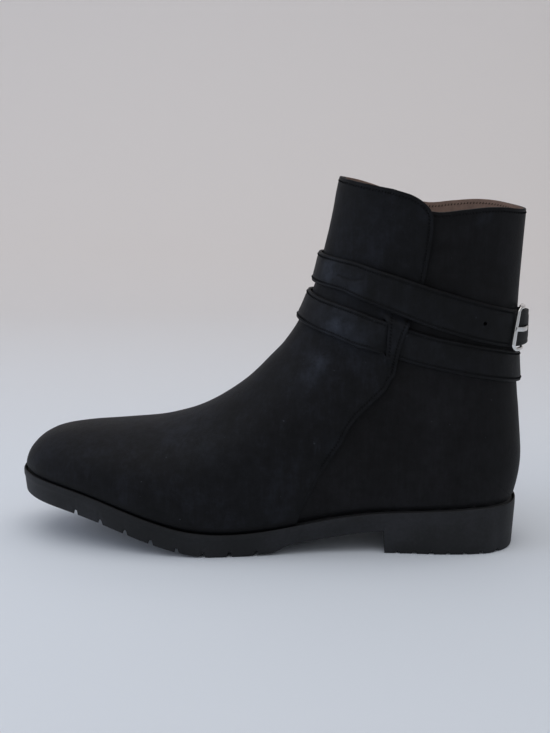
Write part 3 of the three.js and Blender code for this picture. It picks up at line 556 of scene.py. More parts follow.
def skin(points, high, low, level=None, kept=None):
    """A closed skin between two offsets of a grid of points along the sheet's own normals, which
    are the sums of the faces' normals. Where level is set the points move in plan only and stay
    on the feather line. Cells left out by kept get a rim as the outer edges do."""
    index, first = merged(points, keys_per_mm=500)
    base = points.reshape(-1, 3)[first]
    quads = np.stack([index[:-1, :-1], index[1:, :-1], index[1:, 1:], index[:-1, 1:]],
                     axis=-1).reshape(-1, 4)
    if kept is not None:
        quads = quads[kept.ravel()]
    whole, corners = without_folds(quads)
    normal = np.zeros_like(base)
    for block, (p, q, r, s) in ((whole, (0, 2, 1, 3)), (corners, (0, 1, 0, 2))):
        cross = np.cross(base[block[:, q]] - base[block[:, p]],
                         base[block[:, s]] - base[block[:, r]])
        for corner in block.T:
            np.add.at(normal, corner, cross)
    flat = np.zeros(len(base), bool) if level is None else level.ravel()[first]
    normal[flat, 2] = 0
    normal = unit(normal)
    moved = []
    for offset in (high, low):
        layer = base + normal * offset.ravel()[first][:, None]
        layer[flat, 2] = feather_height(-layer[flat, 0] / UPPER_LENGTH)
        moved.append(layer)
    count = len(base)
    edges = np.vstack([np.stack([block, np.roll(block, -1, axis=1)], axis=-1).reshape(-1, 2)
                       for block in (whole, corners)])
    code = edges[:, 0] * count + edges[:, 1]
    a, b = edges[~np.isin(code, edges[:, 1] * count + edges[:, 0])].T
    rim = np.stack([a, a + count, b + count, b], axis=1)
    blocks = [whole, corners, whole[:, ::-1] + count, corners[:, ::-1] + count, rim]
    return {
        "points": np.vstack(moved),
        "blocks": blocks,
        "kinds": np.repeat([0, 0, 1, 1, 2], [len(block) for block in blocks]),
        "outer": moved[0][index],
        "inner": moved[1][index],
        "normal": normal[index],
        "first": first,
    }


def painted(made, grid):
    """A grid of values carried to the points of a skin's two faces."""
    return np.tile(grid.ravel()[made["first"]], 2)


def over_feather(points):
    """Height above the feather line."""
    return points[..., 2] - feather_height(-points[..., 0] / UPPER_LENGTH)


def strip(path, thickness, across_stops, place):
    """A strip of even thickness: the path's two offsets joined to an outline, carried across."""
    path = np.asarray(path, float)
    ahead = unit(np.vstack([path[1:], path[-1:]]) - np.vstack([path[:1], path[:-1]]))
    side = np.stack([-ahead[:, 1], ahead[:, 0]], axis=1) * thickness / 2
    outline = np.vstack([path + side, (path - side)[::-1]])
    count, half, rings = len(outline), len(path), len(across_stops)
    along = np.broadcast_to(outline[None, :, 0], (rings, count))
    level = np.broadcast_to(outline[None, :, 1], (rings, count))
    across = np.broadcast_to(np.asarray(across_stops, float)[:, None], (rings, count))
    points = place(along, across, level).reshape(-1, 3)
    k = np.arange(half - 1)
    ends = np.stack([k, count - 1 - k, count - 2 - k, k + 1], axis=1)
    blocks = [ring_quads(rings, count), ends, ends[:, ::-1] + (rings - 1) * count]
    return points, outward(points, blocks)


def joined(bodies):
    """The points and blocks of several bodies as those of one."""
    points, blocks, total = [], [], 0
    for body, parts in bodies:
        points.append(body)
        blocks += [part + total for part in parts]
        total += len(body)
    return np.vstack(points), blocks


def resampled(path, normals, pitch):
    """Points at even distances along a path, with the normal and direction there."""
    step = np.linalg.norm(np.diff(path, axis=0), axis=1)
    run = np.concatenate([[0], np.cumsum(step)])
    count = max(int(round(run[-1] / pitch)), 1)
    at = (np.arange(count) + 0.5) * run[-1] / count
    point = np.stack([np.interp(at, run, path[:, k]) for k in range(3)], axis=1)
    normal = unit(np.stack([np.interp(at, run, normals[:, k]) for k in range(3)], axis=1))
    ahead = np.stack([np.interp(at + 0.4, run, path[:, k]) - np.interp(at - 0.4, run, path[:, k])
                      for k in range(3)], axis=1)
    return point, normal, unit(ahead)


# A stitch's thickness, as shares, at its rings from end to end
STITCH_RINGS = np.array([0.55, 0.95, 1.0, 0.95, 0.55])
STITCH_SIDES = 6


def stitches(name, paths, pitch, length, width, slant, lift=0.0):
    """A row of stitches along each path. A stitch is a thread that dips into the leather at both
    ends: level width·(cos(πu/2) - 0.45) over u from -1 to 1, turned by slant from the seam."""
    rings = len(STITCH_RINGS)
    u = np.repeat(np.linspace(-1, 1, rings), STITCH_SIDES)
    angle = np.tile(np.linspace(0, 2 * np.pi, STITCH_SIDES, endpoint=False), rings)
    thick = np.repeat(width / 2 * STITCH_RINGS, STITCH_SIDES)
    along, side = u * length / 2, thick * np.cos(angle)
    rise = thick * np.sin(angle) + width * (np.cos(np.pi * u / 2) - 0.45) + lift
    caps = np.array([[3, 2, 1, 0], [5, 4, 3, 0], [24, 25, 26, 27], [24, 27, 28, 29]])
    template = np.vstack([ring_quads(rings, STITCH_SIDES), caps])
    bodies = []
    for path, normals in paths:
        centre, normal, ahead = resampled(path, normals, pitch)
        turned = ahead * math.cos(slant) + unit(np.cross(normal, ahead)) * math.sin(slant)
        square = unit(np.cross(normal, turned))
        made = (centre[:, None] + turned[:, None] * along[None, :, None]
                + square[:, None] * side[None, :, None] + normal[:, None] * rise[None, :, None])
        start = len(u) * np.arange(len(centre))
        bodies.append((made.reshape(-1, 3), [(template + start[:, None, None]).reshape(-1, 4)]))
    points, blocks = joined(bodies)
    make_mesh(name, points, blocks, [thread])


# Materials

def linear(colour):
    """sRGB hex to linear RGBA."""
    channels = [int(colour[i:i + 2], 16) / 255 for i in (1, 3, 5)]
    return [c / 12.92 if c <= 0.04045 else ((c + 0.055) / 1.055) ** 2.4 for c in channels] + [1.0]


def fill(tree, made, inputs):
    """Gives a node's sockets, by name or number, a value or a link from another node's output."""
    for socket, value in inputs.items():
        if isinstance(value, bpy.types.NodeSocket):
            tree.links.new(value, made.inputs[socket])
        else:
            made.inputs[socket].default_value = value


def node(tree, kind, inputs=None, out=0, stops=(), **settings):
    """Adds a node with its settings and inputs and returns one of its outputs. stops are the
    places and sRGB colours of a ramp."""
    made = tree.nodes.new(kind)
    for name, value in settings.items():
        setattr(made, name, value)
    fill(tree, made, inputs or {})
    if stops:
        elements = made.color_ramp.elements
        while len(elements) < len(stops):
            elements.new(0.5)
        for element, (place, colour) in zip(elements, stops):
            element.position = place
            element.color = linear(colour)
    return made.outputs[out]


def new_material(name):
    """A material, what adds a node to it, and its Object coordinates in metres."""
    material = bpy.data.materials.new(name)
    material.use_nodes = True
    add = functools.partial(node, material.node_tree)
    return material, add, add("ShaderNodeTexCoord", out="Object")


def finished(material, bumps, inputs):
    """Lays bumps, pairs of a height and its depth in millimetres, on one another and gives the
    material's shader its values and links."""
    tree = material.node_tree
    normal = {}
    for height, depth in bumps:
        normal = {"Normal": node(tree, "ShaderNodeBump", {
            "Height": height, "Strength": 1.0, "Distance": depth * 0.001, **normal})}
    fill(tree, tree.nodes["Principled BSDF"], {**inputs, **normal})
    return material


def lumps(size):
    """Scale of a noise whose lumps are about size millimetres wide, two to a unit."""
    return 500.0 / size


def cells(size):
    """Scale of a pattern with one cell of size millimetres to a unit."""
    return 1000.0 / size


def waxed_nubuck(name, dark, middle, bloom, roughness=0.62):
    """Black aniline nubuck, brushed to a fine nap and waxed: soft, nearly black with a grey bloom in
    wide patches, upright brush marks, finer mottling, pale patches that are partly scuffs and partly
    painted highlights, painted shade in seams, grooves and creases, specks of dust and a low waxy
    gloss."""
    material, add, where = new_material(name)
    patches = add("ShaderNodeTexNoise", {"Vector": where, "Scale": lumps(26), "Detail": 5,
                                         "Roughness": 0.62, "Distortion": 0.5})
    mottle = add("ShaderNodeTexNoise", {"Vector": where, "Scale": lumps(3.2), "Detail": 6,
                                        "Roughness": 0.7})
    upright = add("ShaderNodeMapping", {"Vector": where, "Scale": (1.0, 1.0, 0.12)})
    brushed = add("ShaderNodeTexNoise", {"Vector": upright, "Scale": lumps(1.1), "Detail": 3,
                                         "Roughness": 0.6})
    blend = add("ShaderNodeMath", {0: patches, 1: 0.5}, operation="MULTIPLY")
    blend = add("ShaderNodeMath", {0: mottle, 1: 0.32, 2: blend}, operation="MULTIPLY_ADD")
    blend = add("ShaderNodeMath", {0: brushed, 1: 0.18, 2: blend}, operation="MULTIPLY_ADD")
    colour = add("ShaderNodeValToRGB", {"Fac": blend},
                 stops=((0.41, dark), (0.50, middle), (0.62, bloom)))
    # rubbed: the pale patches of MARKS, partly scuffs and partly painted highlights
    rubbed = add("ShaderNodeAttribute", out="Fac", attribute_name="rubbed")
    uneven = add("ShaderNodeMath", {0: mottle, 1: 2.6, 2: -0.65}, operation="MULTIPLY_ADD")
    scuff_and_highlight = add("ShaderNodeMath", {0: rubbed, 1: uneven}, operation="MULTIPLY")
    specks = add("ShaderNodeTexNoise", {"Vector": where, "Scale": lumps(1.3), "Detail": 2,
                                        "Roughness": 0.4})
    dust = add("ShaderNodeMath", {0: specks, 1: 0.785}, operation="GREATER_THAN")
    dust = add("ShaderNodeMath", {0: dust, 1: 0.3}, operation="MULTIPLY")
    # shade: painted shade in pressed seams, grooves, creases and beside the flap's edge, and the dyed
    # edges' own darker colour
    shade = add("ShaderNodeAttribute", out="Fac", attribute_name="shade")
    shade = add("ShaderNodeMath", {0: shade, 1: 0.8}, operation="MULTIPLY")
    for factor, over in ((scuff_and_highlight, "#30353f"), (dust, "#50535a"), (shade, "#040405")):
        colour = add("ShaderNodeMix", {"Factor": factor, 6: colour, 7: linear(over)}, out=2,
                     data_type="RGBA", clamp_factor=True)
    gloss = add("ShaderNodeMath", {0: patches, 1: 0.26, 2: roughness - 0.13},
                operation="MULTIPLY_ADD")
    wave = add("ShaderNodeTexNoise", {"Vector": where, "Scale": lumps(9), "Detail": 3,
                                      "Roughness": 0.5})
    grain = add("ShaderNodeTexVoronoi", {"Vector": where, "Scale": cells(0.9)}, out="Distance",
                feature="DISTANCE_TO_EDGE")
    nap = add("ShaderNodeTexNoise", {"Vector": where, "Scale": lumps(0.35), "Detail": 3,
                                     "Roughness": 0.6})
    return finished(material, ((wave, 0.6), (grain, 0.06), (nap, 0.12)), {
        "Base Color": colour, "Roughness": gloss, "Specular IOR Level": 0.14,
        "Sheen Weight": 0.02, "Sheen Roughness": 0.55, "Sheen Tint": linear("#b9bec9")})


def lining_leather(name):
    """Vegetable-tanned lining, drum dyed tan and unfinished: a pinkish tan with paler rubbed
    patches, fine hair pores and next to no gloss."""
    material, add, where = new_material(name)
    patches = add("ShaderNodeTexNoise", {"Vector": where, "Scale": lumps(22), "Detail": 5,
                                         "Roughness": 0.6})
    fine = add("ShaderNodeTexNoise", {"Vector": where, "Scale": lumps(1.2), "Detail": 4,
                                      "Roughness": 0.6})
    blend = add("ShaderNodeMath", {0: patches, 1: 0.65}, operation="MULTIPLY")
    blend = add("ShaderNodeMath", {0: fine, 1: 0.35, 2: blend}, operation="MULTIPLY_ADD")
    colour = add("ShaderNodeValToRGB", {"Fac": blend},
                 stops=((0.34, "#776359"), (0.52, "#8e776b"), (0.72, "#a0897c")))
    pores = add("ShaderNodeTexVoronoi", {"Vector": where, "Scale": cells(0.8)}, out="Distance")
    return finished(material, ((patches, 0.35), (pores, 0.05)), {
        "Base Color": colour, "Roughness": 0.72, "Specular IOR Level": 0.35})


def moulded_rubber(name):
    """Injection-moulded black rubber, matt from a spark-eroded mould: even charcoal with a faint grey
    bloom, painted shade in the groove under the upper and a fine pebble about 0.4 mm."""
    material, add, where = new_material(name)
    patches = add("ShaderNodeTexNoise", {"Vector": where, "Scale": lumps(26), "Detail": 5,
                                         "Roughness": 0.6})
    fine = add("ShaderNodeTexNoise", {"Vector": where, "Scale": lumps(0.8), "Detail": 3,
                                      "Roughness": 0.5})
    blend = add("ShaderNodeMath", {0: patches, 1: 0.8}, operation="MULTIPLY")
    blend = add("ShaderNodeMath", {0: fine, 1: 0.2, 2: blend}, operation="MULTIPLY_ADD")
    colour = add("ShaderNodeValToRGB", {"Fac": blend},
                 stops=((0.37, "#141517"), (0.51, "#1c1d1f"), (0.66, "#27282c")))
    # painted shade in the welt's groove
    shade = add("ShaderNodeAttribute", out="Fac", attribute_name="shade")
    shade = add("ShaderNodeMath", {0: shade, 1: 0.9}, operation="MULTIPLY")
    colour = add("ShaderNodeMix", {"Factor": shade, 6: colour, 7: linear("#030303")}, out=2,
                 data_type="RGBA", clamp_factor=True)
    gloss = add("ShaderNodeMath", {0: patches, 1: 0.2, 2: 0.5}, operation="MULTIPLY_ADD")
    flow = add("ShaderNodeTexNoise", {"Vector": where, "Scale": lumps(14), "Detail": 2,
                                      "Roughness": 0.5})
    pebble = add("ShaderNodeTexNoise", {"Vector": where, "Scale": lumps(0.45), "Detail": 2,
                                        "Roughness": 0.5})
    return finished(material, ((flow, 0.35), (pebble, 0.06)), {
        "Base Color": colour, "Roughness": gloss, "Specular IOR Level": 0.25})


def polished_nickel(name):
    """Zinc casting, tumbled and nickel plated: bright and slightly warm, with fine hairlines."""
    material, add, where = new_material(name)
    stretched = add("ShaderNodeMapping", {"Vector": where, "Scale": (1.0, 1.0, 0.08)})
    hairlines = add("ShaderNodeTexNoise", {"Vector": stretched, "Scale": lumps(0.4), "Detail": 3,
                                           "Roughness": 0.6})
    tone = add("ShaderNodeTexNoise", {"Vector": where, "Scale": lumps(6), "Detail": 3,
                                      "Roughness": 0.55})
    colour = add("ShaderNodeValToRGB", {"Fac": tone}, stops=((0.3, "#c6c5c3"), (0.7, "#e2e1e0")))
    gloss = add("ShaderNodeMath", {0: hairlines, 1: 0.12, 2: 0.08}, operation="MULTIPLY_ADD")
    return finished(material, ((hairlines, 0.012), (tone, 0.05)), {
        "Base Color": colour, "Roughness": gloss, "Metallic": 1.0})


def waxed_thread(name):
    """Black bonded nylon sewing thread, 0.5 mm: darker than the leather, with little shine and the
    fine twist of its plies."""
    material, add, where = new_material(name)
    # a wave texture has 20 / 2π bands to a unit, so that a band is 0.22 mm wide
    twist = add("ShaderNodeTexWave", {"Vector": where, "Scale": cells(0.7)}, out="Fac")
    # the twist's bands are painted shade and highlight: darker in the grooves between the plies,
    # lighter on their ridges
    colour = add("ShaderNodeValToRGB", {"Fac": twist}, stops=((0.2, "#030304"), (0.8, "#0a0a0c")))
    return finished(material, ((twist, 0.05),), {
        "Base Color": colour, "Roughness": 0.7, "Specular IOR Level": 0.1})


def studio_paper(name, near, far):
    """Seamless background paper, uncoated: pale, painted cool where it lies flat and warmer where it
    stands for the colours of the light on each, with a soft unevenness and no gloss."""
    material, add, where = new_material(name)
    tone = add("ShaderNodeTexNoise", {"Vector": where, "Scale": lumps(300), "Detail": 3,
                                      "Roughness": 0.55})
    back = add("ShaderNodeSeparateXYZ", {"Vector": where}, out="Y")
    place = add("ShaderNodeMath", {0: back, 1: 0.8}, operation="MULTIPLY")
    place = add("ShaderNodeMath", {0: tone, 1: 0.15, 2: place}, operation="MULTIPLY_ADD")
    colour = add("ShaderNodeValToRGB", {"Fac": place}, stops=((0.15, near), (0.85, far)))
    return finished(material, (), {
        "Base Color": colour, "Roughness": 0.85, "Specular IOR Level": 0.1})


front_nubuck = waxed_nubuck("waxed_black_front_nubuck", "#060709", "#0d0e11", "#191b21")
rear_nubuck = waxed_nubuck("waxed_black_rear_nubuck", "#070708", "#0e0e10", "#17171a")
strap_leather = waxed_nubuck("waxed_black_strap_leather", "#08090a", "#0f1013", "#1a1c21", 0.54)
lining = lining_leather("tan_lining_leather")
rubber = moulded_rubber("moulded_black_rubber")
nickel = polished_nickel("polished_nickel_plate")
thread = waxed_thread("waxed_black_thread")


# Upper: quarter and lining

# Its details in millimetres: creases on the back of the ankle, the heel counter's edge, the leather
# drawn in above the sole, and stitch lines and their pressed grooves
ANKLE_CREASE_DEPTH = 0.35
ANKLE_CREASE_PITCH = 15.0
COUNTER_RELIEF = 0.12
COUNTER_HEIGHT = 63.0
COUNTER_FRONT = -62.0
TUCK_DEPTH = 0.8
TUCK_HEIGHT = 3.0
COLLAR_SEAM = 2.2
FLAP_SEAM = 2.4


def upper_sheet():
    """The last's face from the toe to the rim, which dips at the sides. Shallow crease waves lie
    on the back of the leg, by half the depth · (1 + cos(2π z / pitch)), fading round to the
    sides."""
    stops = spans(0, (1, 11), (9, 59), (HEEL_SECTION, 59), (20.7, 59), (COLLAR_SECTION, 14))
    places = spans(-1, (-0.8, 15), (0.8, 70), (1, 15))
    place = np.broadcast_to(places[None], (len(stops), len(places)))
    points = last_point(rimmed(stops[:, None], rim_dip(place)), place)
    x, z = points[..., 0], points[..., 2]
    from_rim = np.linalg.norm(points - points[-1:], axis=-1)
    waves = 0.5 + 0.5 * np.cos(2 * np.pi * z / ANKLE_CREASE_PITCH)
    high = -ANKLE_CREASE_DEPTH * bump(z, 104, 15) * bump(x, -6, 26) * waves
    high += COUNTER_RELIEF * ease((COUNTER_HEIGHT - z) / 2.5) * ease((x - COUNTER_FRONT) / 8)
    high -= 0.2 * bump(from_rim, COLLAR_SEAM, 0.7) + 0.3 * np.exp(-from_rim / 0.5) + tuck(points)
    level = (stops[:, None] <= HEEL_SECTION) & ((np.abs(place) == 1) | (stops[:, None] == 0))
    made = skin(points, high, np.full_like(high, -UPPER_WALL), level)
    # painted shade in the collar seam's pressed line, in the sole's groove and as the flap's shadow,
    # with the dyed rim's own darker colour
    shade = seam_shade(from_rim, COLLAR_SEAM) + foot_shade(points) + behind_flap(points)
    made["shade"] = painted(made, shade)
    return made


def seam_shade(from_edge, seam):
    """Painted shade in the pressed line of a seam, and the darker colour of the dyed edge."""
    return 0.45 * bump(from_edge, seam, 0.6) + 0.8 * np.exp(-from_edge / 0.55)


def tuck(points):
    """How far the leather is drawn in towards the sole, eased over 2.4 mm."""
    return TUCK_DEPTH * ease((TUCK_HEIGHT - over_feather(points)) / 2.4)


def foot_shade(points):
    """Painted shade where the upper runs down into the sole's groove, reaching higher at the toe."""
    reach = 4.0 + 1.4 * ease((-points[..., 0] - 60) / 60)
    return 0.95 * ease((reach - over_feather(points)) / 1.8)


def behind_flap(points):
    """Painted shadow on the quarter round the flap's free edge: exp(-(distance / 2.6 mm)²)."""
    stops = np.linspace(10.4, 20.9, 160)
    edge = last_point(stops, -follow(FLAP_ROWS, stops)[:, 0])
    flat = points.reshape(-1, 3)
    nearest = np.full(len(flat), np.inf)
    for part in np.array_split(edge, 20):
        square = ((flat[:, None] - part[None]) ** 2).sum(axis=2).min(axis=1)
        nearest = np.minimum(nearest, square)
    return (0.75 * np.exp(-nearest / 2.6**2)).reshape(points.shape[:2])


upper = upper_sheet()
upper_piece = make_mesh("upper_quarter", upper["points"], upper["blocks"], [rear_nubuck, lining],
                        upper["kinds"] == 1, upper["shade"])
round_edges(upper_piece, 0.35)
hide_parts("upper")


# Vamp: the front piece with its free flap, slot and bridge over the strap

# Columns from the flap's edge to the slot, to the ridge and to the inner seam
FLAP_COLUMNS, SHIN_COLUMNS, INNER_COLUMNS = 30, 30, 44

# How far the flap's free edge stands off in millimetres, below the strap between two sections and
# above it between two heights
EDGE_STAND_OFF = 1.7
TOP_STAND_OFF = 1.4
EDGE_SECTIONS = (10.5, 14.0)
TOP_HEIGHTS = (168.0, 215.0)

# Shallow creases over the toe joint: share of the length, half width, depth in millimetres, wave
# of the crease across the foot and its number of turns
TOE_CREASES = [[-0.700, 0.022, 0.09, 0.012, 9], [-0.645, 0.024, 0.07, -0.016, 7]]
INSTEP_FOLD_DEPTH = 0.30
INSTEP_FOLD_HEIGHT = 118.0


def turn_of(points):
    """Turn in degrees round the leg's axis from the front over the outer side."""
    return np.degrees(np.arctan2(-points[..., 1], LEG_AXIS_X - points[..., 0]))


def vamp_lift(points):
    """How far the flap stands off where the strap passes under it: full beyond the slot, easing
    off over a few millimetres above and below the strap. Also the distance above or below the
    slot's end, negative beside the strap."""
    turn = turn_of(points)
    on_leg = (turn > 0) & (points[..., 2] > 0.3 * COLLAR_HEIGHT)
    aside = np.abs(points[..., 2] - strap_height(turn)) - STRAP_WIDTH / 2 - SLOT_CLEARANCE
    along = ease((turn - SLOT_TURN + SLOT_LIP) / (2 * SLOT_LIP))
    lift = (STRAP_THICKNESS + OVER_QUARTER + 2 * BEND_PLAY) * along * ease(1 - aside / LIFT_REACH)
    return np.where(on_leg, lift, 0.0), aside


def slot_shares(stops):
    """For each section the places of the slot's two lips, read from a fine row of turns."""
    places = np.linspace(-0.9, 0, 181)
    turns = turn_of(last_point(stops[:, None], places[None]))
    return [np.array([np.interp(-lip, -row, places) for row in turns])
            for lip in (SLOT_TURN + SLOT_LIP, SLOT_TURN - SLOT_LIP)]


def vamp_places(stops):
    """The place of each column: flap edge to the slot's rear lip, front lip to the ridge, ridge to
    the inner seam. Below the leg the lips run out into even shares of the width."""
    below = stops <= FLAP_FOOT
    outer = np.where(below, 1.0, follow(FLAP_ROWS, stops)[:, 0])
    inner = np.where(below, 1.0, follow(INNER_SEAM_ROWS, stops)[:, 0])
    rear_lip, front_lip = slot_shares(np.clip(stops, 14.0, 18.0))
    near = ease((stops - 10.5) / 3.0)
    rear = np.minimum(near * -rear_lip + (1 - near) * 0.6 * outer, outer - 0.02)
    front = np.minimum(near * -front_lip + (1 - near) * 0.55 * outer, rear - 0.02)
    flap = np.linspace(0, 1, FLAP_COLUMNS) ** 1.35
    shin = np.linspace(0, 1, SHIN_COLUMNS)
    inside = 1 - (1 - np.linspace(0, 1, INNER_COLUMNS)) ** 1.3
    return np.hstack([
        -outer[:, None] + (outer - rear)[:, None] * flap[None],
        -front[:, None] * (1 - shin[None]),
        inner[:, None] * inside[None, 1:],
    ])


def vamp_sheet():
    """The last's face between the flap's edge and the inner seam, lifted over the strap and off
    the quarter along the free edge. The slot is the column of cells between its two lips, left
    out beside the strap. Stitch lines and creases are pressed in as exp(-(distance / width)²)."""
    stops = spans(0, (1, 11), (9, 69), (FLAP_FOOT, 9), (10.3, 25), (14.4, 47), (17.4, 75), (20.2, 33))
    closer = (1 - np.linspace(0, 1, 26)[1:]) ** 1.7
    stops = np.concatenate([stops, COLLAR_SECTION - (COLLAR_SECTION - stops[-1]) * closer])
    place = vamp_places(stops)
    dip = np.where(place > 0, rim_dip(place), 0.0)
    points = last_point(np.where(place > 0, rimmed(stops[:, None], dip), stops[:, None]), place)
    lift, aside = vamp_lift(points)
    edge = points[:, :1]
    from_edge = np.linalg.norm(points - edge, axis=-1)
    from_rim = np.linalg.norm(points - points[-1:], axis=-1)
    from_inner = np.linalg.norm(points - points[:, -1:], axis=-1)
    # the free edge stands off between the bar tack and the strap, and from there to the collar
    first, last = EDGE_SECTIONS
    free = (ease((stops - first) / 0.9) * ease((last - stops) / 1.6))[:, None]
    low = LEATHER_GAP + lift + EDGE_STAND_OFF * free * np.exp(-from_edge / 9.0) * (place < 0)
    first, last = TOP_HEIGHTS
    free = ease((edge[..., 2] - first) / 14.0) * ease((last - edge[..., 2]) / 12.0)
    low += TOP_STAND_OFF * free * np.exp(-from_edge / 8.0) * (place < 0)
    # a pressed line along the stitching and a rolled edge
    above_foot = (stops > 9.7)[:, None]
    seam = np.minimum(np.where(above_foot & (place < 0), from_edge, np.inf), from_rim)
    seam = np.minimum(seam, np.where(above_foot & (place > 0), from_inner, np.inf))
    high = low + VAMP_THICKNESS - 0.22 * bump(seam, FLAP_SEAM, 0.7) - 0.35 * np.exp(-seam / 0.5)
    high -= tuck(points)
    # flex creases over the toe joint, and a soft fold where the instep turns into the leg
    along, across = points[..., 0] / UPPER_LENGTH, bump(place, 0, 0.42)
    for share, half, depth, wave, turns in TOE_CREASES:
        high -= depth * across * bump(along + wave * np.cos(turns * place), share, half)
    high -= (INSTEP_FOLD_DEPTH * bump(place, 0, 0.30)
             * bump(points[..., 2], INSTEP_FOLD_HEIGHT, 4.5))
    level = (stops[:, None] <= FLAP_FOOT) & ((np.abs(place) > 0.999) | (stops[:, None] == 0))
    kept = np.ones((len(stops) - 1, place.shape[1] - 1), bool)
    lips = slice(FLAP_COLUMNS - 1, FLAP_COLUMNS)
    kept[:, lips] = ~((aside[:-1, lips] < 0) & (aside[1:, lips] < 0)
                      & (points[:-1, lips, 2] > 0.3 * COLLAR_HEIGHT))
    made = skin(points, high, low, level, kept)
    # painted shade along the slot's lips beside the strap, in the seams' pressed lines and in the
    # sole's groove, with the dyed edges' own darker colour
    lip = np.abs(turn_of(points) - SLOT_TURN) * 0.75
    lip_shade = 0.7 * bump(lip, 0, 1.6) * ease(1 - aside / 1.5) * (points[..., 2] > 80)
    shade = seam_shade(seam, FLAP_SEAM) + foot_shade(points) + lip_shade
    made.update(shade=painted(made, shade), stops=stops)
    return made


vamp = vamp_sheet()
vamp_piece = make_mesh("vamp_front", vamp["points"], vamp["blocks"], [front_nubuck, lining],
                       vamp["kinds"] == 1, vamp["shade"])
round_edges(vamp_piece, 0.3)
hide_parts("vamp")


# Strap

# The radius of the strap's edges, the degrees that its round tip takes, the holes' distances from
# the buckle's middle and how deep they are cut
STRAP_ROUND = 0.75
STRAP_TIP = 9.0
FIRST_TURN, LAST_TURN = STRAP_ROWS[0][0], STRAP_ROWS[-1][0]
HOLE_DISTANCES = (-31.0, 15.5)
HOLE_RADIUS = 1.15
HOLE_SIDES = 16
HOLE_LEVELS = (OVER_QUARTER - 0.35, 9.0)
SLOT_HALF = PRONG_WIDTH / 2 + SEAT_GAP

# The ends of a short crease in the upper strap, how far it sags between them, and its depth
CREASE = np.array([[-106.1, -24.0, 163.9], [-93.5, -30.6, 162.8]])
CREASE_SAG = 1.2
CREASE_DEPTH = 0.45


def strap_profile():
    """Flat underside, round edges, a pressed stitch line and a slight crown, 1 - (2u)^4, on top.
    Returns the share of the width, the part of an edge's radius and the level of each point."""
    inner = np.linspace(-0.5, 0.5, 25)
    distance = (0.5 - np.abs(inner)) * (STRAP_WIDTH - 2 * STRAP_ROUND)
    crown = 0.22 * (1 - (2 * inner) ** 4) - 0.2 * bump(distance, 1.7, 0.7) - 0.22
    a = np.radians(np.linspace(90, -90, 7))[1:-1]
    b = np.radians(np.linspace(270, 90, 7))[1:-1]
    middle = STRAP_THICKNESS / 2
    side = middle - 0.12
    share = np.concatenate([inner, np.full(5, 0.5), inner[::-2], np.full(5, -0.5)])
    edge = np.concatenate([0 * inner, np.cos(a), 0 * inner[::2], np.cos(b)])
    level = np.concatenate([STRAP_THICKNESS + crown, middle - 0.1 + side * np.sin(a),
                            0 * inner[::2], middle - 0.1 + side * np.sin(b)])
    return share, edge, level


def strap_body(turns, profile):
    """The closed profile carried along the strap's route. At the tip the width falls to 0 as
    (1 - (1 - t)^2.6)^½ over the last degrees."""
    rows = follow(STRAP_ROWS, turns)
    low = np.maximum(rows[:, 2], OVER_QUARTER)
    tip = np.clip((LAST_TURN - turns) / STRAP_TIP, 0, 1)
    width = rows[:, 1] * STRAP_WIDTH * np.sqrt(np.clip(1 - (1 - tip) ** 2.6, 0.02, 1))
    share, edge, level = profile
    across = share[None] * (width[:, None] - 2 * STRAP_ROUND) + edge[None] * STRAP_ROUND
    turn, height = strap_place(turns[:, None], across)
    return leg_point(turn, height) + leg_normal(turn, height) * (low[:, None] + level)[..., None]


def creased(points):
    """1 on the crease, falling off as exp(-(distance / 0.75 mm)²). The crease is a straight line
    that sags as a sine between its ends."""
    first, last = CREASE
    along = ((points - first) @ (last - first) / ((last - first) ** 2).sum()).clip(0, 1)
    line = first + along[:, None] * (last - first)
    line[:, 2] -= CREASE_SAG * np.sin(np.pi * along)
    off = np.hypot((points - line)[:, 2], 0.5 * (points - line)[:, 0])
    near = np.abs(points[:, 1] - line[:, 1]) < 6
    return bump(off, 0, 0.75) * near


def make_strap():
    """Rings of the profile along the route, closer together at the round tip, with the crease
    pressed in towards the leg's axis."""
    turns = np.concatenate([np.arange(FIRST_TURN, LAST_TURN - STRAP_TIP, 0.75),
                            np.linspace(LAST_TURN - STRAP_TIP, LAST_TURN, 18)])
    share, edge, level = strap_profile()
    grid = strap_body(turns, (share, edge, level))
    rings, sides = grid.shape[:2]
    points = grid.reshape(-1, 3)
    crease = creased(points)
    inward = unit(points * [1, 1, 0] - [LEG_AXIS_X, 0, 0])
    points = points - crease[:, None] * CREASE_DEPTH * inward
    line = (0.5 - np.abs(share)) * (STRAP_WIDTH - 2 * STRAP_ROUND) + STRAP_ROUND
    # painted shade in the stitch line's pressed groove and in the crease, with the strap's dyed edges
    # in their own darker colour
    shade = 0.4 * bump(line, 1.9, 0.5) + 0.7 * (np.abs(edge) > 0.3)
    blocks = outward(points, [ring_quads(rings, sides), end_caps(rings, sides)])
    return make_mesh("strap_band", points, blocks, [strap_leather],
                     shade=np.tile(shade, rings) + 0.8 * crease)


def hole_bar(distance):
    """A round bar square to the strap, which punches a hole: radius·(side·cos a + up·sin a) round
    the ends of a line along the leg's normal."""
    turn, height = strap_place(np.array([BUCKLE_TURN + distance * DEGREES_PER_LENGTH]), np.zeros(1))
    base, normal = leg_point(turn, height)[0], leg_normal(turn, height)[0]
    side = unit(np.cross(normal, [0.0, 0.0, 1.0]))
    up = np.cross(normal, side)
    angle = np.linspace(0, 2 * np.pi, HOLE_SIDES, endpoint=False)[:, None]
    ring = HOLE_RADIUS * (np.cos(angle) * side + np.sin(angle) * up)
    ends = base + normal * np.array(HOLE_LEVELS)[:, None]
    points = (ends[:, None] + ring[None]).reshape(-1, 3)
    return points, outward(points, [ring_quads(2, HOLE_SIDES), end_caps(2, HOLE_SIDES)])


def prong_bar(path, thickness):
    """A flat bar as wide as the prong's slot, which punches it."""
    return strip(path, thickness, [-SLOT_HALF, SLOT_HALF], buckle_point)


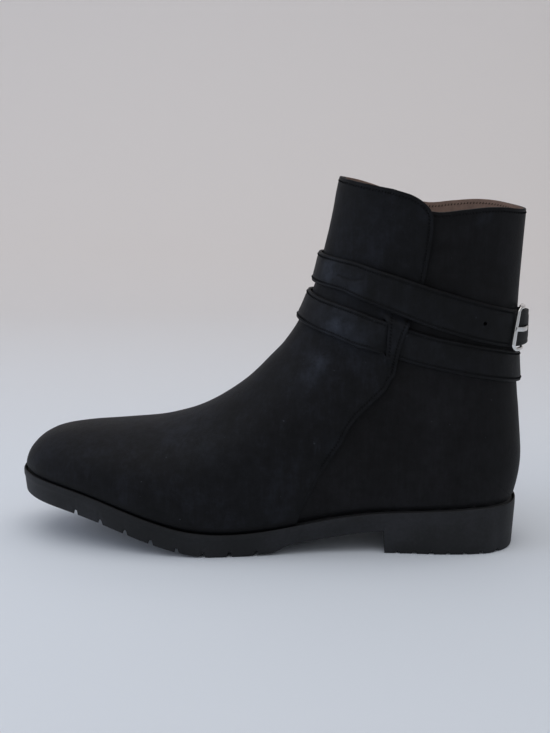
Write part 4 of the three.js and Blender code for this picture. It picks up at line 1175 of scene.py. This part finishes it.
def punch(piece, points, blocks):
    """Cuts a body out of a piece and keeps the result as its mesh."""
    cutter_mesh = bpy.data.meshes.new("cutter")
    cutter_mesh.from_pydata(to_row(points).tolist(), [], listed(blocks))
    cutter = bpy.data.objects.new("cutter", cutter_mesh)
    bpy.context.scene.collection.objects.link(cutter)
    cut = piece.modifiers.new("punch", "BOOLEAN")
    cut.operation = "DIFFERENCE"
    cut.object = cutter
    cut.solver = "EXACT"
    settled = bpy.context.evaluated_depsgraph_get()
    mesh = bpy.data.meshes.new_from_object(piece.evaluated_get(settled))
    old = piece.data
    piece.modifiers.clear()
    piece.data = mesh
    mesh.name = old.name
    bpy.data.meshes.remove(old)
    bpy.data.objects.remove(cutter)
    bpy.data.meshes.remove(cutter_mesh)


strap_piece = make_strap()
bars = [hole_bar(distance) for distance in HOLE_DISTANCES]
bars.append(prong_bar([[-2, BAR_LEVEL + 1], [BAR_PLACE - 0.5, BAR_LEVEL + 1]], 9))
punch(strap_piece, *joined(bars))
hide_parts("strap")


# Buckle, prong, tab and keeper

WIRE_SIDES = 16
CORNER_STEPS = 9
SIDE_STEPS = 7


def make_frame():
    """A round wire bent to a rectangle with round corners, one bar over the strap and the other
    under its end: the wire's middle runs along four quarter circles and the sides between them."""
    half_length, half_height = BAR_PLACE, BUCKLE_HEIGHT / 2 - BUCKLE_WIRE / 2
    route = []
    for sign_x, sign_y, start in ((1, 1, 0), (-1, 1, 90), (-1, -1, 180), (1, -1, 270)):
        angle = np.radians(start + np.linspace(0, 90, CORNER_STEPS))
        corner = np.stack([sign_x * (half_length - BUCKLE_CORNER) + BUCKLE_CORNER * np.cos(angle),
                           sign_y * (half_height - BUCKLE_CORNER) + BUCKLE_CORNER * np.sin(angle),
                           angle], axis=1)
        end = corner[-1]
        other = end * [-1, 1, 1] if sign_x == sign_y else end * [1, -1, 1]
        t = np.linspace(0, 1, SIDE_STEPS)[1:-1, None]
        route += [corner, end * (1 - t) + other * t]
    along, across, angle = np.vstack(route).T[..., None]
    share = (along / half_length + 1) / 2
    level = FRONT_BAR_LEVEL + share * (BAR_LEVEL - FRONT_BAR_LEVEL)
    turn = np.linspace(0, 2 * np.pi, WIRE_SIDES, endpoint=False)[None]
    out = BUCKLE_WIRE / 2 * np.cos(turn)
    points = buckle_point(along + out * np.cos(angle), across + out * np.sin(angle),
                          level + BUCKLE_WIRE / 2 * np.sin(turn)).reshape(-1, 3)
    blocks = outward(points, [ring_quads(len(along), WIRE_SIDES, closed=True)])
    return make_mesh("buckle_wire_frame", points, blocks, [nickel])


def round_bar(radius, first, last, steps):
    """An arc round the frame's rear bar, as places along the strap and levels."""
    angle = np.radians(np.linspace(first, last, steps + 1))
    return np.stack([BAR_PLACE + radius * np.cos(angle), BAR_LEVEL + radius * np.sin(angle)], 1)


def smooth_path(path, steps):
    """A path through the given points, resampled on a Hermite curve by its length."""
    run = np.concatenate([[0], np.cumsum(np.linalg.norm(np.diff(path, axis=0), axis=1))])
    return follow(np.hstack([run[:, None], path]), np.linspace(0, run[-1], steps))


def make_prong():
    """A flat tongue bent round the rear bar that comes to rest on the front bar."""
    radius = BUCKLE_WIRE / 2 + SEAT_GAP + PRONG_THICKNESS / 2
    rest = FRONT_BAR_LEVEL + BUCKLE_WIRE / 2 + SEAT_GAP + PRONG_THICKNESS / 2
    path = np.vstack([
        round_bar(radius, -150, 130, 14),
        [[BAR_PLACE - 5.5, BAR_LEVEL + 2.5], [0, (BAR_LEVEL + rest) / 2 + 1.7],
         [-BAR_PLACE + 4, rest + 0.6], [-BAR_PLACE, rest], [-BAR_PLACE - 2, rest - 0.1]],
    ])
    points, blocks = strip(smooth_path(path, 60), PRONG_THICKNESS,
                           np.linspace(-PRONG_WIDTH / 2, PRONG_WIDTH / 2, 3), buckle_point)
    return make_mesh("buckle_tongue_bar", points, blocks, [nickel])


def make_tab():
    """A strip of leather folded round the rear bar, both legs to the rear, slotted for the
    prong."""
    radius = BUCKLE_WIRE / 2 + SEAT_GAP + TAB_THICKNESS / 2
    under = OVER_QUARTER + TAB_THICKNESS / 2
    over = under + TAB_THICKNESS + SEAT_GAP
    rear = BAR_PLACE + TAB_LENGTH
    path = np.vstack([
        [[rear, under]],
        np.stack([np.linspace(rear - 6, BAR_PLACE + 3, 8), np.full(8, under)], 1),
        round_bar(radius, -90, -270, 12),
        [[BAR_PLACE + 2.2, BAR_LEVEL + radius - 0.6],
         [BAR_PLACE + 5, (BAR_LEVEL + radius + over) / 2], [BAR_PLACE + 8, over + 0.2]],
        np.stack([np.linspace(BAR_PLACE + 11, rear - 6, 6), np.full(6, over)], 1),
        [[rear, over]],
    ])
    points, blocks = strip(path, TAB_THICKNESS, np.linspace(-TAB_WIDTH / 2, TAB_WIDTH / 2, 9),
                           buckle_point)
    piece = make_mesh("buckle_holding_tab", points, blocks, [strap_leather])
    punch(piece, *prong_bar([[BAR_PLACE - 6, BAR_LEVEL], [BAR_PLACE + 4.2, BAR_LEVEL]], 8))
    return piece


def make_keeper():
    """A loop of leather from side to side of the strap's tail, bent over its edges."""
    middle = BAR_PLACE + KEEPER_DISTANCE
    tail = follow(STRAP_ROWS, BUCKLE_TURN + middle * DEGREES_PER_LENGTH)[1] * STRAP_WIDTH
    half = float(tail) / 2 + LEATHER_GAP + BEND_PLAY + KEEPER_THICKNESS / 2
    foot = OVER_QUARTER + BEND_PLAY
    top = OVER_TAB + STRAP_THICKNESS + LEATHER_GAP + BEND_PLAY + KEEPER_THICKNESS / 2
    bend = 1.2 * KEEPER_THICKNESS
    turn = np.radians(np.linspace(0, 90, 6))
    corner = np.stack([-half + bend - bend * np.cos(turn), top - bend + bend * np.sin(turn)], 1)
    flat = np.stack([np.linspace(-half + 2.2 * bend, half - 2.2 * bend, 9), np.full(9, top)], 1)
    path = np.vstack([[[-half, foot]], corner, flat, corner[::-1] * [-1, 1], [[half, foot]]])
    stops = np.linspace(middle - KEEPER_LENGTH / 2, middle + KEEPER_LENGTH / 2, 7)
    points, blocks = strip(path, KEEPER_THICKNESS, stops,
                           lambda across, along, level: buckle_point(along, across, level))
    return make_mesh("strap_holding_loop", points, blocks, [strap_leather])


frame_piece = make_frame()
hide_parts("buckle_frame")

prong_piece = make_prong()
round_edges(prong_piece, 0.35)
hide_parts("buckle_prong")

tab_piece = make_tab()
round_edges(tab_piece, 0.2)
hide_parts("buckle_tab")

keeper_piece = make_keeper()
round_edges(keeper_piece, 0.3)
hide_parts("strap_keeper")


# Outsole with its heel, and the insole

# The lugs' ends as shares of the length, and the taper and bevel of the side in millimetres
LUG_END = 0.463
TOE_LUG_END = 0.93
BREAST_SECTION = 11.0
SOLE_TAPER = 1.2
SOLE_BEVEL = 1.0
CHANNEL_DEPTH = 1.3

# The top of the sole from the seat out over the welt's groove and lip: inset from the outer edge
# as a share of the margin and in millimetres, drop below the top
WELT_ROWS = np.array([
    [1.9, 0.0, 0.0], [1.1, 0.0, 0.0], [1.0, 0.0, 2.5], [0.6, 0.0, 2.8], [0.4, 0.0, 1.4],
    [0.28, 0.0, 0.35], [0.0, 0.8, 0.0], [0.0, 0.35, 0.14], [0.0, 0.1, 0.42], [0.0, 0.0, 0.9],
    [0.0, 0.0, 2.4], [0.0, 0.0, 3.85],
])

# Drop below the top at which the plain side starts, and how much painted shade darkens the welt's
# groove
WALL_TOP = 4.25
WELT_GROOVE_SHADE = np.array([0.5, 1.0, 1.0, 0.8, 0.4])

# The insole's rounded rim: how far each step lies inside the rim and how far below the top
SOCK_RIM = np.array([[0.9, 0.0], [0.35, 0.2], [0.05, 0.7], [0.0, INSOLE_THICKNESS]])
SOCK_CROWN = 0.5


def feather_edge(stops, place, margin):
    """The feather line moved outward in plan by a margin, which may be a row of margins."""
    at = last_point(stops, place)
    before = last_point(np.maximum(stops - 0.02, 0), place)
    after = last_point(np.minimum(stops + 0.02, HEEL_SECTION), place)
    along = after - before
    out = unit(np.stack([-along[:, 1], along[:, 0], 0 * along[:, 0]], axis=1) * place)
    out[0], out[-1] = (-1, 0, 0), (1, 0, 0)
    return at[:, None] + out[:, None] * margin[..., None]


def even_stops(spacing):
    """Sections from toe to heel at even distances along the outer feather line."""
    fine = np.linspace(0, HEEL_SECTION, 3000)
    line = last_point(fine, -1.0)
    run = np.concatenate([[0], np.cumsum(np.linalg.norm(np.diff(line, axis=0), axis=1))])
    return np.interp(np.linspace(0, run[-1], int(run[-1] / spacing)), run, fine)


def closed_rings(ring):
    """A grid of rings across the foot, merged where they meet at the toe and the heel, as points
    and blocks that face outward. Also which grid point each of its points is."""
    index, first = merged(ring, keys_per_mm=200)
    wrap = np.hstack([index, index[:, :1]])
    quads = np.stack([wrap[:-1, :-1], wrap[:-1, 1:], wrap[1:, 1:], wrap[1:, :-1]], axis=-1)
    points = ring.reshape(-1, 3)[first]
    return points, outward(points, without_folds(quads.reshape(-1, 4))), first


def cut_profile(off):
    """1 in a groove and 0 beside it, by the distance from its middle, with drafted sides."""
    return ease((GROOVE_WIDTH / 2 + 0.3 - off) / 0.6)


def tread_depth(x, from_edge, breast_x):
    """How far the underside is above the tread's plane: the grooves that open the edge, a shallow
    channel that joins them on the forepart, and the shallow grooves round the heel's edge."""
    share = -x / UPPER_LENGTH
    forepart = share > LUG_END
    number = (-LUG_END * UPPER_LENGTH - x) / GROOVE_PITCH
    count = math.floor((TOE_LUG_END - LUG_END) * UPPER_LENGTH / GROOVE_PITCH)
    nearest = np.round(number)
    off = np.abs(number - nearest) * GROOVE_PITCH
    groove = forepart & (nearest >= 1) & (nearest <= count) & (from_edge < GROOVE_LENGTH)
    depth = np.where(groove, LUG_DEPTH * cut_profile(off), 0.0)
    channel = forepart & (share < TOE_LUG_END) & (from_edge > 12)
    run = CHANNEL_DEPTH * bump(from_edge, GROOVE_LENGTH, 1.3)
    depth = np.maximum(depth, np.where(channel, run, 0))
    number = -x / HEEL_GROOVE_PITCH
    nearest = np.round(number)
    off = np.abs(number - nearest) * HEEL_GROOVE_PITCH
    heel = (x > breast_x + 4) & (nearest >= 1) & (from_edge < HEEL_GROOVE_LENGTH)
    return np.maximum(depth, np.where(heel, LUG_DEPTH / 2 * cut_profile(off), 0.0))


def sole_side(stops, place, breast_x):
    """One side of the sole's rings, from the seat out over the welt and down the tapered wall to
    the foot's small bevel, and the height of the tread's plane there."""
    to_toe = ease((HEEL_SECTION - stops - 3) / 5)[:, None]
    margin = HEEL_MARGIN + to_toe * (WELT_MARGIN - HEEL_MARGIN)
    edge = feather_edge(stops, place, margin - WELT_ROWS[None, :, 0] * margin - WELT_ROWS[None, :, 1])
    rim = feather_edge(stops, place, margin)[:, 0]
    share = -rim[:, 0] / UPPER_LENGTH
    top = feather_height(share) - SEAT_GAP
    edge[..., 2] = top[:, None] - WELT_ROWS[None, :, 2]
    lugs = ease((share - LUG_END + 0.012) / 0.03)
    plane = np.maximum(0, feather_height(share) - SOLE_THICKNESS + LUG_DEPTH * (1 - lugs))
    plane = np.where(rim[:, 0] > breast_x, 0.0, plane)
    bottom = plane + tread_depth(rim[:, 0], np.zeros(len(rim)), breast_x)
    lower = np.array([0.0, 0.25, 0.5, 0.75])[None]
    wall_top = top[:, None] - WALL_TOP
    wall = wall_top + (bottom[:, None] + SOLE_BEVEL - wall_top) * lower
    step = 0.35 * to_toe
    wall_inset = step + lower * (SOLE_TAPER - step)
    foot = bottom[:, None] + SOLE_BEVEL * np.array([1.0, 0.6, 0.2, 0.0])[None]
    foot_inset = SOLE_TAPER + SOLE_BEVEL * np.array([0.0, 0.1, 0.4, 1.0])[None] + 0 * foot
    down = feather_edge(stops, place, margin - np.hstack([wall_inset, foot_inset]))
    down[..., 2] = np.hstack([wall, foot])
    return np.concatenate([edge, down], axis=1), plane


def make_outsole():
    """Rings across the foot: from the middle of the seat out over the welt's groove and lip, down
    the side, across the tread and back up the other side."""
    stops = even_stops(0.62)
    breast_x = float(last_point(BREAST_SECTION, -1.0)[0])
    outer, outer_plane = sole_side(stops, -1.0, breast_x)
    inner, inner_plane = sole_side(stops, 1.0, breast_x)
    across = np.linspace(0, 1, 62)[1:-1]
    a, b = outer[:, -1], inner[:, -1]
    middle = a[:, None] * (1 - across[None, :, None]) + b[:, None] * across[None, :, None]
    width = np.linalg.norm((b - a)[:, :2], axis=1)
    from_edge = np.minimum(across, 1 - across)[None] * width[:, None] + SOLE_TAPER + SOLE_BEVEL
    plane = outer_plane[:, None] * (1 - across) + inner_plane[:, None] * across
    middle[..., 2] = plane + tread_depth(middle[..., 0], from_edge, breast_x)
    ring = np.concatenate([outer, middle, inner[:, ::-1]], axis=1)
    points, blocks, first = closed_rings(ring)
    # painted shade in the welt's groove under the upper
    shade = np.zeros(ring.shape[:2])
    shade[:, 1:6], shade[:, -6:-1] = WELT_GROOVE_SHADE, WELT_GROOVE_SHADE[::-1]
    return make_mesh("outsole_unit", points, blocks, [rubber], shade=shade.ravel()[first])


outsole_piece = make_outsole()
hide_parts("outsole")


def make_insole():
    """A flat sock with a soft rim: loops inside the feather line, the top crowned as a sine."""
    stops = even_stops(2.0)
    loops = []
    for place in (-1.0, 1.0):
        margins = -SOCK_RIM[None, :, 0] - UPPER_WALL - 1.5 + 0 * stops[:, None]
        edge = feather_edge(stops, place, margins)
        base = feather_height(-edge[..., 0] / UPPER_LENGTH) + 0.1
        edge[..., 2] = base + INSOLE_THICKNESS - SOCK_RIM[None, :, 1]
        loops.append(edge)
    outer, inner = loops
    across = np.linspace(0, 1, 14)[1:-1]
    middle = inner[:, :1] * (1 - across[None, :, None]) + outer[:, :1] * across[None, :, None]
    middle[..., 2] += SOCK_CROWN * np.sin(np.pi * across)[None]
    points, blocks, _ = closed_rings(np.concatenate([outer, inner[:, ::-1], middle], axis=1))
    return make_mesh("insole_sock", points, blocks, [lining])


insole_piece = make_insole()
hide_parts("insole")


# Stitching

# Pitch, length and thickness of a stitch in millimetres and its slant in radians, then how far
# the rows lie from their edges
LEATHER_STITCH = (1.9, 1.75, 0.5, math.radians(62))
LINING_STITCH = (1.9, 1.5, 0.45, math.radians(62))
STRAP_STITCH = (1.5, 1.35, 0.42, math.radians(70))
INNER_SEAMS = (2.2, 4.2)
SLOT_SEAM = 1.7
LINING_SEAM = 2.4
STRAP_SEAM = 1.9

# Rows of the upper's grid below the rim that a collar stitch may lie on
NEAR_RIM = 40


def inset_path(path, normals, distance):
    """A path moved sideways in the surface, by the distance along the normal crossed with its
    tangent. At a sharp corner the points that fall nearer the edge than that are dropped."""
    ahead = unit(np.gradient(path, axis=0))
    moved = path + np.cross(normals, ahead) * distance
    nearest = np.linalg.norm(moved[:, None] - path[None], axis=-1).min(axis=1)
    return moved[nearest > 0.94 * abs(distance)]


def laid(path, points, normals):
    """A path laid on a sheet: each point is moved along the nearest grid point's normal on to the
    plane there."""
    flat, square = points.reshape(-1, 3), normals.reshape(-1, 3)
    near = np.concatenate([
        ((part[:, None] - flat[None]) ** 2).sum(axis=2).argmin(axis=1)
        for part in np.array_split(path, max(len(path) // 40, 1))
    ])
    normal = square[near]
    off = ((path - flat[near]) * normal).sum(axis=1, keepdims=True)
    return path - normal * off, normal


def flap_stitch_paths():
    """Along the flap's free edge from the bar tack up and round the collar to the inner seam, two
    rows along that seam, and one beside the slot."""
    outer, normal, stops = vamp["outer"], vamp["normal"], vamp["stops"]
    rising = stops > 10.35
    edge = np.vstack([outer[rising, 0], outer[-1, 1:]])
    normals = np.vstack([normal[rising, 0], normal[-1, 1:]])
    paths = [inset_path(edge, normals, FLAP_SEAM)]
    seam = (stops > 9.9) & (stops < 20.6)
    for distance in INNER_SEAMS:
        paths.append(inset_path(outer[seam, -1], normal[seam, -1], -distance))
    lip, column = (stops > 14.6) & (stops < 17.2), FLAP_COLUMNS - 1
    paths.append(inset_path(outer[lip, column], normal[lip, column], -SLOT_SEAM))
    return [laid(path, outer, normal) for path in paths]


def rim_stitch_path(face, side, distance):
    """Round the collar at a distance below the rim, on the upper's outer or inner face."""
    points, normals = upper[face], upper["normal"] * side
    path = inset_path(points[-1], normals[-1], distance)
    return laid(path, points[-NEAR_RIM:], normals[-NEAR_RIM:])


def strap_line(first, last, side):
    """A line of stitches on the strap's top near its edge on one side, by turns one degree apart."""
    turns = np.arange(first, last, 1.0)
    rows = follow(STRAP_ROWS, turns)
    turn, height = strap_place(turns, side * (rows[:, 1] * STRAP_WIDTH / 2 - STRAP_SEAM))
    normal = leg_normal(turn, height)
    top = np.maximum(rows[:, 2], OVER_QUARTER) + STRAP_THICKNESS
    return leg_point(turn, height) + normal * top[:, None], normal


stitches("flap_stitching", flap_stitch_paths(), *LEATHER_STITCH)
stitches("collar_stitching", [rim_stitch_path("outer", 1, COLLAR_SEAM)], *LEATHER_STITCH)
stitches("lining_stitching", [rim_stitch_path("inner", -1, -LINING_SEAM)], *LINING_STITCH)
# none under the slot's bridge, at the buckle and at the tip
strap_rows = ((FIRST_TURN + 1, 50.0), (66.0, BUCKLE_TURN - 12.0),
              (BUCKLE_TURN + 14.0, LAST_TURN - 8.0))
stitches("strap_stitching", [strap_line(first, last, side) for side in (-1, 1)
                             for first, last in strap_rows], *STRAP_STITCH, lift=-0.1)


# Floor, light and camera

# The paper in metres: its front edge, where it starts to bend up, the bend's radius and its top
PAPER_WIDTH = 6.0
PAPER_FRONT = -4.0
PAPER_BACK = 0.75
PAPER_BEND = 0.5
PAPER_TOP = 3.0


def make_backdrop():
    """A sheet of paper: flat under the boot, a quarter circle behind it, then upright."""
    turn = np.radians(np.linspace(0, 90, 25))
    y = np.concatenate([[PAPER_FRONT], PAPER_BACK + PAPER_BEND * np.sin(turn),
                        [PAPER_BACK + PAPER_BEND]])
    z = np.concatenate([[0.0], PAPER_BEND * (1 - np.cos(turn)), [PAPER_TOP]])
    x = np.array([-PAPER_WIDTH / 2, PAPER_WIDTH / 2])
    points = np.stack([np.tile(x, len(y)), np.repeat(y, 2), np.repeat(z, 2)], axis=1)
    row = 2 * np.arange(len(y) - 1)[:, None]
    mesh = bpy.data.meshes.new("backdrop")
    mesh.from_pydata(points.tolist(), [], (row + np.array([[0, 1, 3, 2]])).tolist())
    mesh.polygons.foreach_set("use_smooth", np.full(len(mesh.polygons), True))
    # the cool floor colour and the warm wall colour are painted light
    mesh.materials.append(studio_paper("pale_paper", "#dfe5ec", "#ddd9d7"))
    backdrop = bpy.data.objects.new("backdrop", mesh)
    bpy.context.scene.collection.objects.link(backdrop)


make_backdrop()


def area_light(name, place, target, size, watts, colour):
    """A rectangular light in watts at a place in metres, turned to its target."""
    light = bpy.data.lights.new(name, "AREA")
    light.shape = "RECTANGLE"
    light.size, light.size_y = size
    light.energy = watts
    light.color = linear(colour)[:3]
    lamp = bpy.data.objects.new(name, light)
    lamp.location = place
    lamp.rotation_euler = direction(place, target)
    bpy.context.scene.collection.objects.link(lamp)


def direction(place, target):
    """Euler angles that point -Z from a place to a target."""
    x, y, z = (t - p for p, t in zip(place, target))
    return (math.atan2(math.hypot(x, y), -z), 0.0, math.atan2(-x, y))


area_light("overhead_softbox", (-0.3, -0.35, 1.7), (0, 0, 0), (2.2, 1.8), 10.5, "#fffdfb")
area_light("left_window", (-1.5, -0.35, 0.75), (0, 0, 0.1), (0.9, 1.1), 5.0, "#dce6ff")
area_light("wall_wash", (0.6, 0.2, 1.9), (0, 1.25, 0.6), (1.6, 0.6), 5.0, "#fff6f0")

world = bpy.data.worlds.new("studio")
world.use_nodes = True
fill(world.node_tree, world.node_tree.nodes["Background"],
     {"Color": linear("#eceff5"), "Strength": 0.50})
bpy.context.scene.world = world
bpy.context.scene.view_settings.view_transform = "Standard"

# The camera stands 700 mm from the boot's middle plane and 262 mm above the floor
CAMERA_DISTANCE = 0.700
CAMERA_HEIGHT = 0.262
CAMERA_TURN = math.radians(1.5)
CAMERA_PITCH = math.radians(12.6)
CAMERA_FOOT_X = 0.0198
CAMERA_FOOT_Y = -0.0009
FRAME_HEIGHT = 733.0
FOCAL = 1200.0
AIM_TURN = math.radians(1.35)


def make_camera():
    """A camera level from side to side, turned and pitched as in the photo. Its lens is
    36 mm · focal length / frame height, both in pixels."""
    camera = bpy.data.cameras.new("camera")
    camera.sensor_fit = "VERTICAL"
    camera.sensor_height = 36.0
    camera.lens = 36.0 * FOCAL / FRAME_HEIGHT
    camera.clip_start = 0.01
    view = bpy.data.objects.new("camera", camera)
    view.location = (CAMERA_FOOT_X + CAMERA_DISTANCE * math.sin(CAMERA_TURN),
                     CAMERA_FOOT_Y - CAMERA_DISTANCE * math.cos(CAMERA_TURN),
                     CAMERA_HEIGHT)
    view.rotation_euler = (math.pi / 2 - CAMERA_PITCH, 0.0, CAMERA_TURN + AIM_TURN)
    bpy.context.scene.collection.objects.link(view)
    bpy.context.scene.camera = view


make_camera()
